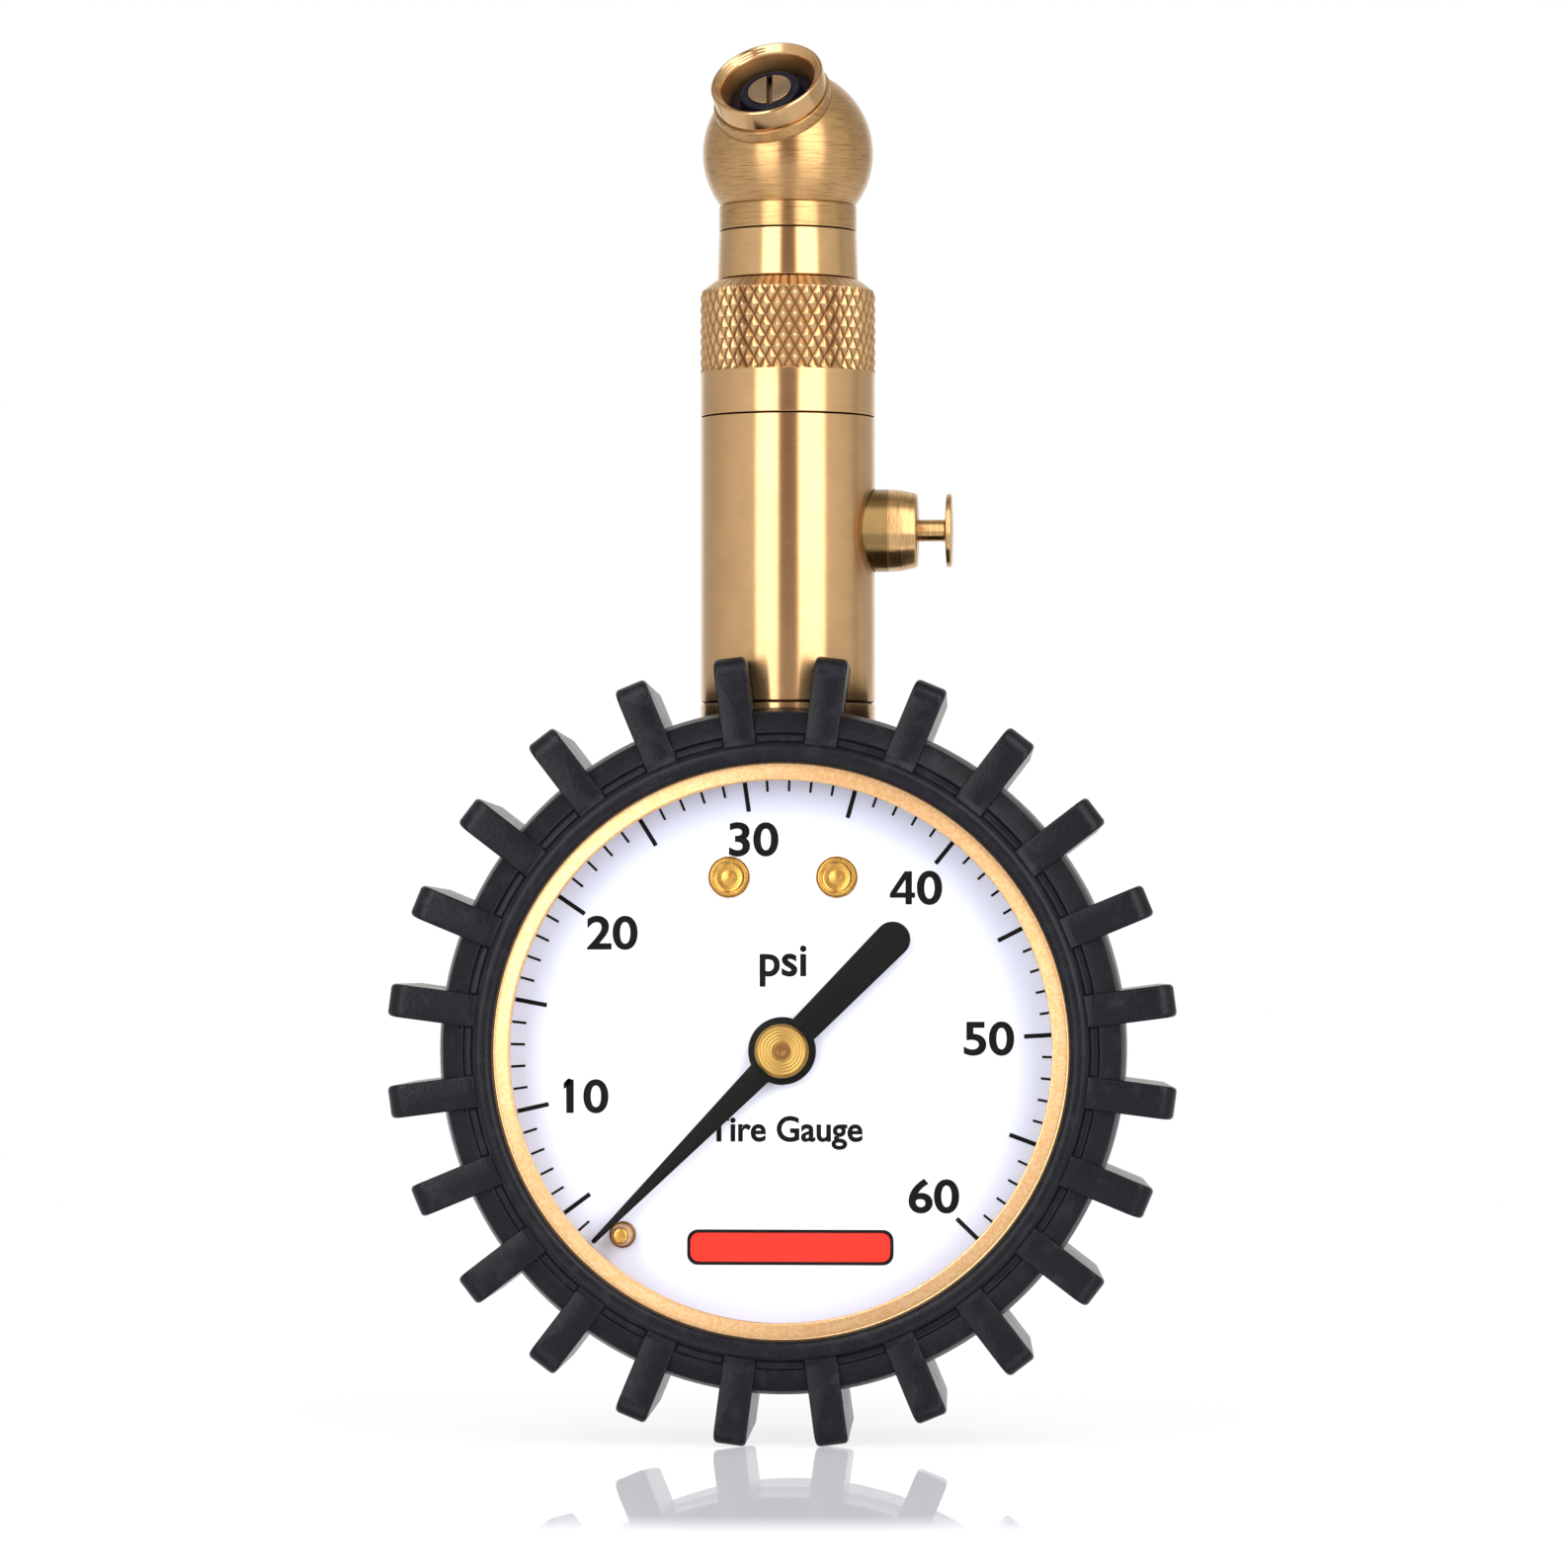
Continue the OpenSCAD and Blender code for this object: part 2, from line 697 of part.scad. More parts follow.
// ---------------------------------------------------------------- bleeder

module bleeder_boss() {
    color(brass) on_bleeder() difference() {
        union() {
            rod(3.25, seat_x, spotface_x);
            rod(3.77, spotface_x, 9.2);
            cone(3.77, 3.66, 9.2, 10.4);
            cone(3.66, 3.3, 10.4, boss_end_x);
        }
        rod(1 + running_gap, 0, 20);
    }
}

module bleeder_button() {
    color(bright_brass) on_bleeder() {
        rod(1, 2.3, disc_x);
        rod(2.2, 2.3, 2.9);
        rod(button_d / 2, disc_x, disc_x + disc_thick);
    }
}

module bleeder_seal() { color(black_rubber) on_bleeder() sleeve(2.2, 1, 2.9, seat_x - 0.04); }

module bleeder_spring() {
    wire_r = 0.16;
    height = 2.3 - chamber_end_x - 2 * wire_r - 0.04;
    color(steel) on_bleeder() translate([0, 0, chamber_end_x + wire_r + 0.01]) helix_wire(1.6, wire_r, height, 6);
}

// ---------------------------------------------------------------- swivelling head

module neck() {
    flange_top = nut_ceiling - 0.65;
    color(brass) difference() {
        union() {
            rod(tail_r, boss_top - 3.6, boss_top + running_gap);
            rod(gland_r, boss_top + running_gap, flange_top);
            rod(spigot_r, flange_top, neck_base);
            cone(neck_r + 0.05, neck_r - 0.05, neck_base, neck_top);
            rod(3.9, neck_top, neck_top + 3.2);
        }
        rod(bore_r, 0, neck_top + 10);
        // groove for the O-ring
        sleeve(tail_r + 1, tail_r - 0.85, boss_top - 2.4, boss_top - 1.4);
    }
}

module thrust_washer() {
    color("#e9e6dc") sleeve(gland_r, spigot_r, nut_ceiling - 0.65, nut_ceiling - running_gap);
}

module swivel_o_ring() {
    section = 0.41;
    color(black_rubber) translate([0, 0, boss_top - 1.9])
        rotate_extrude() translate([tail_r - 0.85 + section + 0.03, 0]) circle(r = section);
}

module ball_head() {
    color(brass) difference() {
        union() {
            translate([0, 0, ball_z]) sphere(r = ball_r, $fn = 128);
            rod(neck_r - 0.05, neck_top, neck_top + 2.3);
            on_chuck() rod(band_r, 0, band_d);
        }
        rod(3.9, neck_top - 1, neck_top + 3.2);
        rod(bore_r, neck_top, ball_z);
        on_chuck() {
            rod(thread_r, pocket_d, 10);
            rod(1.2, 0, pocket_d + 1);
        }
    }
}

module chuck_ring() {
    color(brass) on_chuck() difference() {
        union() {
            rod(thread_r, pocket_d + 0.1, band_d);
            rod(rim_r - 0.15, band_d, band_d + 0.18);
            rod(rim_r, band_d + 0.18, face_d - 0.15);
            cone(rim_r, rim_r - 0.15, face_d - 0.15, face_d);
        }
        rod(seal_r, 0, seal_top_d);
        rod(socket_r, 0, face_d + 1);
        cone(socket_r, socket_r + 0.35, face_d - 0.35, face_d);
    }
}

module valve_seal() {
    color(black_rubber) on_chuck() difference() {
        rod(seal_r, pocket_d + 0.1, seal_top_d);
        rod(2, 0, 10);
    }
}

module depressor() {
    slot_w = 0.54;
    head_top = seal_top_d - 0.05;
    color(bright_brass) on_chuck() difference() {
        union() {
            rod(2, pocket_d, head_top);
            rod(1.2, 1.8, pocket_d);
        }
        translate([-slot_w / 2, -3, head_top - 0.7]) cube([slot_w, 6, 2]);
        rod(0.4, 0, 10);
    }
}

guard();
case();
bezel();
lens();
lens_gasket();
dial();
dial_screws();
dial_spacers();
stop_pin();
socket_block();
sealing_washer();
restrictor();
bourdon_tube();
movement_back_plate();
movement_front_plate();
movement_pillars();
movement_screws();
hairspring();
hairspring_stud();
case_screws();
blowout_plug();
pointer();
pointer_cap();
pointer_arbor();
sector_gear();
sector_arbor();
tail_pin();
tube_tip();
link();
link_pin();
stem();
gland_nut();
check_seat();
check_poppet();
check_spring();
bleeder_boss();
bleeder_button();
bleeder_seal();
bleeder_spring();
neck();
thrust_washer();
swivel_o_ring();
ball_head();
chuck_ring();
valve_seal();
depressor();
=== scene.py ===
"""Looks of the dial tyre pressure gauge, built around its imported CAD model.

Sizes are in millimetres until a mesh is finished, and places come from the frame.
Pieces turned on an axis are outlines of (radius, height) points about that axis:
the dial's axis points to the viewer, the chuck's out of its mouth, the bleeder's along +X.
"""

import math

import bmesh
import bpy
from mathutils import Matrix, Vector


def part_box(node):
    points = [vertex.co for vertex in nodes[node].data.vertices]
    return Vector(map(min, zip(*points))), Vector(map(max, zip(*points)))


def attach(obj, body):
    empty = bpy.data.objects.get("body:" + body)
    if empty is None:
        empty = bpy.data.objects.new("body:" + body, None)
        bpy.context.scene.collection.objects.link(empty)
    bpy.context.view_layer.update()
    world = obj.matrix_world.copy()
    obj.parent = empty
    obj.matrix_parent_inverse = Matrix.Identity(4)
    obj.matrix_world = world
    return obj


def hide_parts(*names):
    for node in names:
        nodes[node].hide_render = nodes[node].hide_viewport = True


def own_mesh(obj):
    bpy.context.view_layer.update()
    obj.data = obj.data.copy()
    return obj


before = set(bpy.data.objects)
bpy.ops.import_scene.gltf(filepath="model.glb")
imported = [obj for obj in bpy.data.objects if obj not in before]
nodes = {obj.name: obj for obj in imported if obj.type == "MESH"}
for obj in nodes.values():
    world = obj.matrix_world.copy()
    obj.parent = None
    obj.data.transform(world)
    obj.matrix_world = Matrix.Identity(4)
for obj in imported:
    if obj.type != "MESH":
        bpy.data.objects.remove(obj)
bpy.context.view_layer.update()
scene = bpy.context.scene

MM = 0.001
TAU = math.tau
ROUND_STEP = math.radians(15)


def deg(angle):
    return math.radians(angle)


def box_mm(node):
    """Lowest and highest corner of a CAD node, in millimetres."""
    low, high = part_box(node)
    return low / MM, high / MM


# ------------------------------------------------------------------ places

bezel_low, bezel_high = box_mm("bezel")
guard_low = box_mm("guard")[0]
stem_low, stem_high = box_mm("stem")
nut_low, nut_high = box_mm("gland_nut")
neck_low, neck_high = box_mm("neck")
ball_low, ball_high = box_mm("ball_head")
boss_low, boss_high = box_mm("bleeder_boss")
button_low, button_high = box_mm("bleeder_button")
pointer_low, pointer_high = box_mm("pointer")

dial_z = (bezel_low.z + bezel_high.z) / 2
dial_face = -box_mm("dial")[0].y
bezel_r = bezel_high.x
stem_r = stem_high.x
ball_r = ball_high.x
ball_rise = 7.15  # from the foot of the ball's collar to its centre
ball_z = ball_low.z + ball_rise
bleeder_z = (boss_low.z + boss_high.z) / 2
chuck_tilt = 45
head_turn = -15

ON_DIAL = Matrix.Translation((0, 0, dial_z)) @ Matrix.Rotation(deg(90), 4, "X")
ON_STEM = Matrix.Identity(4)
ON_BLEEDER = Matrix.Translation((0, 0, bleeder_z)) @ Matrix.Rotation(deg(90), 4, "Y")
ON_CHUCK = (Matrix.Translation((0, 0, ball_z)) @ Matrix.Rotation(deg(head_turn), 4, "Z")
            @ Matrix.Rotation(deg(chuck_tilt), 4, "X"))


# ------------------------------------------------------------------ node trees

def add(tree, kind, inputs=(), **settings):
    """A new node. inputs gives (socket, value or socket to link) pairs."""
    node = tree.nodes.new(kind)
    for key, value in settings.items():
        setattr(node, key, value)
    for key, value in inputs:
        if isinstance(value, bpy.types.NodeSocket):
            tree.links.new(value, node.inputs[key])
        else:
            node.inputs[key].default_value = value
    return node


def calc(tree, operation, first, second=0.0, third=0.0):
    """Result of a Math node."""
    values = ((0, first), (1, second), (2, third))
    return add(tree, "ShaderNodeMath", values, operation=operation).outputs[0]


def ramp(tree, value, start, end, low=0.0, high=1.0):
    """Smooth step from low to high as value goes from start to end."""
    pairs = ((0, value), (1, start), (2, end), (3, low), (4, high))
    return add(tree, "ShaderNodeMapRange", pairs, interpolation_type="SMOOTHSTEP").outputs[0]


def blend_colours(tree, factor, first, second):
    """Mix of two colours."""
    node = add(tree, "ShaderNodeMix", data_type="RGBA")
    for index, value in ((0, factor), (6, first), (7, second)):
        if isinstance(value, bpy.types.NodeSocket):
            tree.links.new(value, node.inputs[index])
        else:
            node.inputs[index].default_value = value
    return node.outputs[2]


def noise(tree, vector, scale, detail=2.0, roughness=0.5):
    """Fac of a noise texture."""
    pairs = (("Vector", vector), ("Scale", scale), ("Detail", detail), ("Roughness", roughness))
    return add(tree, "ShaderNodeTexNoise", pairs).outputs["Fac"]


def millimetres(tree, place=ON_STEM):
    """Object coordinates in millimetres, measured in the frame of an axis."""
    where = add(tree, "ShaderNodeTexCoord").outputs["Object"]
    origin = place.translation * MM
    turn = place.to_euler()
    pairs = (("Vector", where), ("Location", origin), ("Rotation", turn), ("Scale", (MM, MM, MM)))
    return add(tree, "ShaderNodeMapping", pairs, vector_type="TEXTURE").outputs[0]


def axis_distance(tree, spot):
    """Distance of a place from the Z axis, and its height along it."""
    parts = add(tree, "ShaderNodeSeparateXYZ", ((0, spot),)).outputs
    across = add(tree, "ShaderNodeCombineXYZ", ((0, parts[0]), (1, parts[1]))).outputs[0]
    radius = add(tree, "ShaderNodeVectorMath", ((0, across),), operation="LENGTH").outputs["Value"]
    return radius, parts[2]


def turning_lines(tree, place):
    """A vector that is the same all round an axis, for textures that are circles about it, and the place."""
    spot = millimetres(tree, place)
    radius, height = axis_distance(tree, spot)
    drift = calc(tree, "MULTIPLY", noise(tree, spot, 0.5, 1.0), 0.05)
    wavy = calc(tree, "ADD", height, drift)
    return add(tree, "ShaderNodeCombineXYZ", ((0, radius), (1, wavy))).outputs[0], spot


def material(name, colour, roughness, metallic=0.0, **sockets):
    """A Principled material; returns the material, its tree and its shader node."""
    made = bpy.data.materials.new(name)
    made.use_nodes = True
    tree = made.node_tree
    shader = tree.nodes["Principled BSDF"]
    shader.inputs["Base Color"].default_value = (*colour, 1)
    shader.inputs["Roughness"].default_value = roughness
    shader.inputs["Metallic"].default_value = metallic
    for key, value in sockets.items():
        shader.inputs[key.replace("_", " ")].default_value = value
    return made, tree, shader


def bare_material(name):
    """A material with an empty node tree; returns the material and the tree."""
    made = bpy.data.materials.new(name)
    made.use_nodes = True
    made.node_tree.nodes.clear()
    return made, made.node_tree


def mix_shaders(tree, share, first, second):
    """Mix of two shader nodes."""
    pairs = ((0, share), (1, first.outputs[0]), (2, second.outputs[0]))
    return add(tree, "ShaderNodeMixShader", pairs)


def bump(tree, shader, height, distance):
    """Feeds a height into a shader's normal. distance is in millimetres."""
    pairs = (("Height", height), ("Distance", distance * MM))
    tree.links.new(add(tree, "ShaderNodeBump", pairs).outputs[0], shader.inputs["Normal"])


# ------------------------------------------------------------------ materials

def turned_metal(name, place, colour, roughness=0.24, groove=0.0012, line_scale=5.0, axis=None,
                 streak=0.1):
    """Metal cut on a lathe: fine circular lines, darker streaks, and a shine drawn out along its axis."""
    streak_scale = (0.45, 0.45, 9)
    made, tree, shader = material(name, colour, roughness, 1.0)
    if axis:
        shader.inputs["Anisotropic"].default_value = 0.93
        shader.inputs["Anisotropic Rotation"].default_value = 0.25
        around = add(tree, "ShaderNodeTangent", direction_type="RADIAL", axis=axis)
        tree.links.new(around.outputs[0], shader.inputs["Tangent"])
    lines, spot = turning_lines(tree, place)
    fine = noise(tree, lines, line_scale, 3.0, 0.65)
    stains = noise(tree, spot, 0.35, 3.0)
    dark = tuple(c * 0.93 for c in colour)
    tint = blend_colours(tree, ramp(tree, stains, 0.3, 0.7), (*dark, 1), (*colour, 1))
    flat = add(tree, "ShaderNodeVectorMath", ((0, spot), (1, streak_scale)), operation="MULTIPLY")
    marks = ramp(tree, noise(tree, flat.outputs[0], 1.0, 3.0, 0.6), 0.46, 0.72, 0.0, streak)
    tint = blend_colours(tree, marks, tint, (colour[0] * 0.3, colour[1] * 0.25, colour[2] * 0.2, 1))
    tree.links.new(tint, shader.inputs["Base Color"])
    gloss = calc(tree, "MULTIPLY_ADD", fine, 0.1, roughness - 0.05)
    tree.links.new(gloss, shader.inputs["Roughness"])
    bump(tree, shader, fine, groove)
    return made


def cast_metal(name, colour, roughness):
    """Metal with a fine random grain."""
    made, tree, shader = material(name, colour, roughness, 1.0)
    spot = millimetres(tree)
    speckle = noise(tree, spot, 6.0, 3.0, 0.6)
    cloud = noise(tree, spot, 0.5, 2.0)
    dark = tuple(c * 0.8 for c in colour)
    tint = blend_colours(tree, ramp(tree, cloud, 0.3, 0.7), (*dark, 1), (*colour, 1))
    tree.links.new(tint, shader.inputs["Base Color"])
    tree.links.new(calc(tree, "MULTIPLY_ADD", speckle, 0.16, roughness - 0.08), shader.inputs["Roughness"])
    bump(tree, shader, speckle, 0.003)
    return made


def knurled_metal():
    """Brass with painted shade down in the grooves of the knurl, coloured dark brown and fading out towards
    the ridges.
    """
    made = cast_metal("brass_knurl", (0.64, 0.40, 0.19), 0.22)
    tree = made.node_tree
    shader = tree.nodes["Principled BSDF"]
    radius = axis_distance(tree, millimetres(tree))[0]
    unshaded_colour = shader.inputs["Base Color"].links[0].from_socket
    # painted shade: dark brown in the knurl's grooves, set by distance from the axis
    raised = ramp(tree, radius, stem_r - 0.26, stem_r - 0.08)
    tree.links.new(blend_colours(tree, raised, (0.23, 0.12, 0.05, 1), unshaded_colour), shader.inputs["Base Color"])
    return made


def gold_plate():
    """Gold-coloured plate over a soft circular brush."""
    colour = (0.71, 0.49, 0.27)
    made, tree, shader = material("gold_plate", colour, 0.4, 1.0)
    lines, spot = turning_lines(tree, ON_DIAL)
    brush = noise(tree, lines, 7.0, 3.0, 0.7)
    grain = noise(tree, spot, 3.6, 3.0, 0.6)
    deep = (0.66, 0.38, 0.165, 1)
    tint = blend_colours(tree, ramp(tree, grain, 0.38, 0.64), deep, (*colour, 1))
    tree.links.new(tint, shader.inputs["Base Color"])
    both = calc(tree, "MULTIPLY_ADD", grain, 0.6, brush)
    tree.links.new(calc(tree, "MULTIPLY_ADD", both, 0.12, 0.25), shader.inputs["Roughness"])
    bump(tree, shader, both, 0.006)
    return made


def rubber(name, colour, roughness, pebble=0.03):
    """Moulded rubber: a fine pebbled skin with scuffs that are a little paler and rougher."""
    made, tree, shader = material(name, colour, roughness, Specular_IOR_Level=0.17)
    spot = millimetres(tree)
    pebbles = noise(tree, spot, 3.2, 4.0, 0.6)
    scuffs = noise(tree, spot, 0.55, 4.0, 0.65)
    pale = tuple(c * 2.0 + 0.002 for c in colour)
    tint = blend_colours(tree, ramp(tree, scuffs, 0.5, 0.75), (*colour, 1), (*pale, 1))
    tree.links.new(tint, shader.inputs["Base Color"])
    tree.links.new(calc(tree, "MULTIPLY_ADD", scuffs, 0.2, roughness - 0.1), shader.inputs["Roughness"])
    bump(tree, shader, pebbles, pebble)
    return made


def dial_enamel():
    """White enamel with painted shade that greys it softly towards the rim under the bezel, and a faint
    orange-peel.
    """
    made, tree, shader = material("dial_white", (0.86, 0.86, 0.88), 0.32)
    spot = millimetres(tree, ON_DIAL)
    radius = axis_distance(tree, spot)[0]
    white = (0.83, 0.86, 0.95, 1)
    shaded = (0.60, 0.64, 0.80, 1)
    # painted shade: mixed towards lavender grey from 14 mm out to the rim
    tint = blend_colours(tree, ramp(tree, radius, 14.0, 25.5), white, shaded)
    tree.links.new(tint, shader.inputs["Base Color"])
    bump(tree, shader, noise(tree, spot, 1.6, 2.0), 0.004)
    return made


def window():
    """Clear plastic that lets light straight through and reflects by angle."""
    made, tree = bare_material("window")
    gloss = add(tree, "ShaderNodeBsdfGlossy", (("Roughness", 0.02),))
    clear = add(tree, "ShaderNodeBsdfTransparent", ((0, (0.985, 0.99, 0.995, 1)),))
    share = add(tree, "ShaderNodeFresnel", (("IOR", 1.1),))
    both = mix_shaders(tree, share.outputs[0], clear, gloss)
    add(tree, "ShaderNodeOutputMaterial", ((0, both.outputs[0]),))
    return made


def paint(name, colour, roughness, shine=0.5):
    """Satin paint or plastic with a faint texture."""
    made, tree, shader = material(name, colour, roughness, Specular_IOR_Level=shine)
    spot = millimetres(tree)
    fine = noise(tree, spot, 8.0, 3.0, 0.6)
    tree.links.new(calc(tree, "MULTIPLY_ADD", fine, 0.16, roughness - 0.08), shader.inputs["Roughness"])
    bump(tree, shader, fine, 0.004)
    return made


BRASS = (0.60, 0.375, 0.18)
stem_brass = turned_metal("brass_stem", ON_STEM, BRASS, axis="Z")
ball_brass = turned_metal("brass_ball", ON_STEM, (0.52, 0.315, 0.135), 0.32, 0.03, 3.6, "Z", 0.55)
chuck_brass = turned_metal("brass_chuck", ON_CHUCK, BRASS, 0.16)
bleeder_brass = turned_metal("brass_bleeder", ON_BLEEDER, (0.60, 0.38, 0.17), 0.26, 0.008, 4.0, "X", 0.7)
darker_boss_brass = turned_metal("brass_darker_boss", ON_BLEEDER, (0.27, 0.175, 0.07), 0.28, 0.001, axis="X")
# knurled brass with painted shade in its grooves
knurl_brass = knurled_metal()
plain_brass = cast_metal("brass", BRASS, 0.3)
cap_brass = turned_metal("bright_brass_cap", ON_DIAL, (0.50, 0.305, 0.085), 0.34, 0.01, 4.0)
bright_brass = cast_metal("bright_brass", (0.68, 0.37, 0.085), 0.28)
copper = cast_metal("copper", (0.78, 0.38, 0.20), 0.3)
# dark copper of the arbor's end, also used as painted shade on the stop pin's foot
arbor_bronze_and_pin_shade = cast_metal("copper_arbor_and_painted_pin_shade", (0.26, 0.125, 0.04), 0.4)
bore_brass = cast_metal("brass_bore", (0.50, 0.28, 0.12), 0.42)
# painted shade: near-black brass for the faces down in the seams between turned parts and on the floor of the
# stem's fine groove
seam_shade = cast_metal("brass_painted_seam_shade", (0.035, 0.02, 0.01), 0.6)
disc_brass = cast_metal("brass_disc", (0.40, 0.28, 0.17), 0.38)
steel = cast_metal("steel", (0.56, 0.56, 0.57), 0.32)
gold = gold_plate()
black_rubber = rubber("guard_rubber", (0.005, 0.0053, 0.0085), 0.28)
seal_rubber = rubber("seal_rubber", (0.003, 0.0035, 0.011), 0.36, 0.01)
enamel = dial_enamel()
ink = paint("dial_ink", (0.003, 0.003, 0.003), 0.5, shine=0.1)
red_ink = paint("dial_red_ink", (0.62, 0.03, 0.018), 0.45, shine=0.1)
pointer_black = paint("pointer_black", (0.004, 0.0038, 0.0035), 0.38, shine=0.12)
nylon = paint("nylon", (0.78, 0.76, 0.68), 0.5)
glass = window()


# ------------------------------------------------------------------ shapes

def rounded(corners, closed=True):
    """Points of an outline whose corners (x, y, radius) are rounded to their radius."""
    points = []
    count = len(corners)
    for i, (x, y, radius) in enumerate(corners):
        here = Vector((x, y))
        if not radius or not (closed or 0 < i < count - 1):
            points.append(here)
            continue
        before = (Vector(corners[i - 1][:2]) - here).normalized()
        after = (Vector(corners[(i + 1) % count][:2]) - here).normalized()
        half = before.angle(after) / 2
        middle = here + (before + after).normalized() * radius / math.sin(half)
        first = here + before * radius / math.tan(half) - middle
        last = here + after * radius / math.tan(half) - middle
        start = math.atan2(first.y, first.x)
        turn = (math.atan2(last.y, last.x) - start + math.pi) % TAU - math.pi
        points += arc(middle, radius, start, start + turn)
    return points


def arc(middle, radius, start, end, step=ROUND_STEP):
    """Points of an arc, angles in radians."""
    count = max(2, math.ceil(abs(end - start) / step))
    angles = [start + (end - start) * i / count for i in range(count + 1)]
    return [Vector((middle[0] + radius * math.cos(a), middle[1] + radius * math.sin(a))) for a in angles]


def turned(outline, steps=144, closed=True):
    """Mesh of an outline of (radius, height) points turned about +Z."""
    bm = bmesh.new()
    rings = []
    for radius, height in outline:
        if radius < 1e-6:
            rings.append([bm.verts.new((0, 0, height))])
            continue
        angles = [TAU * i / steps for i in range(steps)]
        rings.append([bm.verts.new((radius * math.cos(a), radius * math.sin(a), height)) for a in angles])
    for low, high in zip(rings, rings[1:] + rings[:1] if closed else rings[1:]):
        if len(low) == len(high) == 1:
            continue
        for i in range(steps):
            j = (i + 1) % steps
            corners = [low[i % len(low)], low[j % len(low)], high[j % len(high)], high[i % len(high)]]
            bm.faces.new(list(dict.fromkeys(corners)))
    bmesh.ops.recalc_face_normals(bm, faces=bm.faces)
    return bm


def prism(outline, low, high, bevel=0.0):
    """Mesh of a flat outline that stands between two heights, with the rims of both ends bevelled."""
    bm = bmesh.new()
    floor = [bm.verts.new((x, y, low)) for x, y in outline]
    roof = [bm.verts.new((x, y, high)) for x, y in outline]
    count = len(outline)
    ends = [bm.faces.new(floor), bm.faces.new(roof)]
    for i in range(count):
        j = (i + 1) % count
        bm.faces.new((floor[i], floor[j], roof[j], roof[i]))
    bmesh.ops.recalc_face_normals(bm, faces=bm.faces)
    if bevel:
        rims = [e for face in ends for e in face.edges]
        bmesh.ops.bevel(bm, geom=rims, offset=bevel, segments=3, profile=0.5, affect="EDGES",
                        clamp_overlap=True)
    return bm


def merged(*parts):
    """One mesh from several (mesh, placement) pairs."""
    whole = bmesh.new()
    for bm, place in parts:
        bmesh.ops.transform(bm, matrix=place, verts=bm.verts)
        mesh = bpy.data.meshes.new("part")
        bm.to_mesh(mesh)
        bm.free()
        whole.from_mesh(mesh)
        bpy.data.meshes.remove(mesh)
    return whole


def as_object(name, bm, place=ON_STEM):
    """Object of a mesh given in millimetres in the frame of an axis."""
    mesh = bpy.data.meshes.new(name)
    bm.to_mesh(mesh)
    bm.free()
    mesh.transform(Matrix.Scale(MM, 4) @ place)
    made = bpy.data.objects.new(name, mesh)
    scene.collection.objects.link(made)
    return made


def combine(first, second, operation):
    """Cuts the second object from the first, or joins it to it, and removes the second."""
    tool = first.modifiers.new("combine", "BOOLEAN")
    tool.operation = operation
    tool.solver = "MANIFOLD"
    tool.object = second
    bpy.context.view_layer.update()
    result = bpy.data.meshes.new_from_object(first.evaluated_get(bpy.context.evaluated_depsgraph_get()))
    first.modifiers.clear()
    first.data = result
    bpy.data.objects.remove(second)
    return first


def mesh_of_curve(curve):
    """Mesh of a curve or a text."""
    temporary = bpy.data.objects.new(curve.name, curve)
    mesh = bpy.data.meshes.new_from_object(temporary)
    bpy.data.objects.remove(temporary)
    return mesh


def finished(piece, body, look, stands_for=(), sharp=32):
    """Shades a piece, gives it its material and joins it to its body."""
    mesh = piece.data
    mesh.materials.clear()
    mesh.materials.append(look)
    mesh.shade_smooth()
    mesh.set_sharp_from_angle(angle=deg(sharp))
    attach(piece, body)
    if stands_for:
        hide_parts(*stands_for)
    return piece


def repaint(piece, look, chosen):
    """Gives a second material to the faces whose centre in millimetres passes a test."""
    piece.data.materials.append(look)
    index = len(piece.data.materials) - 1
    for face in piece.data.polygons:
        if chosen(face.center / MM):
            face.material_index = index


def turned_piece(name, corners, place, body, look, stands_for=(), steps=144):
    """A finished piece turned from rounded corners (radius, height, rounding)."""
    made = as_object(name, turned(rounded(corners), steps), place)
    return finished(made, body, look, stands_for)


# ------------------------------------------------------------------ guard

lug_count = 24
lug_half = 2.95 / 2
lug_front = -guard_low.y - 0.8
lug_depth = 14
lug_tip = 35.5
lug_edge = 0.16


def guard_ring():
    """The guard's band with its lip over the bezel, the groove outside it and a mould line."""
    front = -guard_low.y
    band = 30.8
    seam = 0.05
    return turned(rounded([
        (bezel_r + 0.02, 7.5, 0), (bezel_r + 0.02, front, 0.75), (27.45, front, 0.8), (27.75, 11.85, 0.2),
        (28.3, 11.8, 0.2), (28.55, 12.05, 0.12), (30.4, 10.75, 0.5), (band, 9.4, 0.6), (band, 0.15, 0),
        (band + seam, 0, 0), (band, -0.15, 0), (band, -10.2, 2.0), (29.2, -front, 2.0), (20.5, -front, 0.8),
        (20.5, -11.25, 0.4), (24.6, -11.25, 0.6), (25.3, -10.4, 0.6), (25.3, 7.5, 0)]), 192)


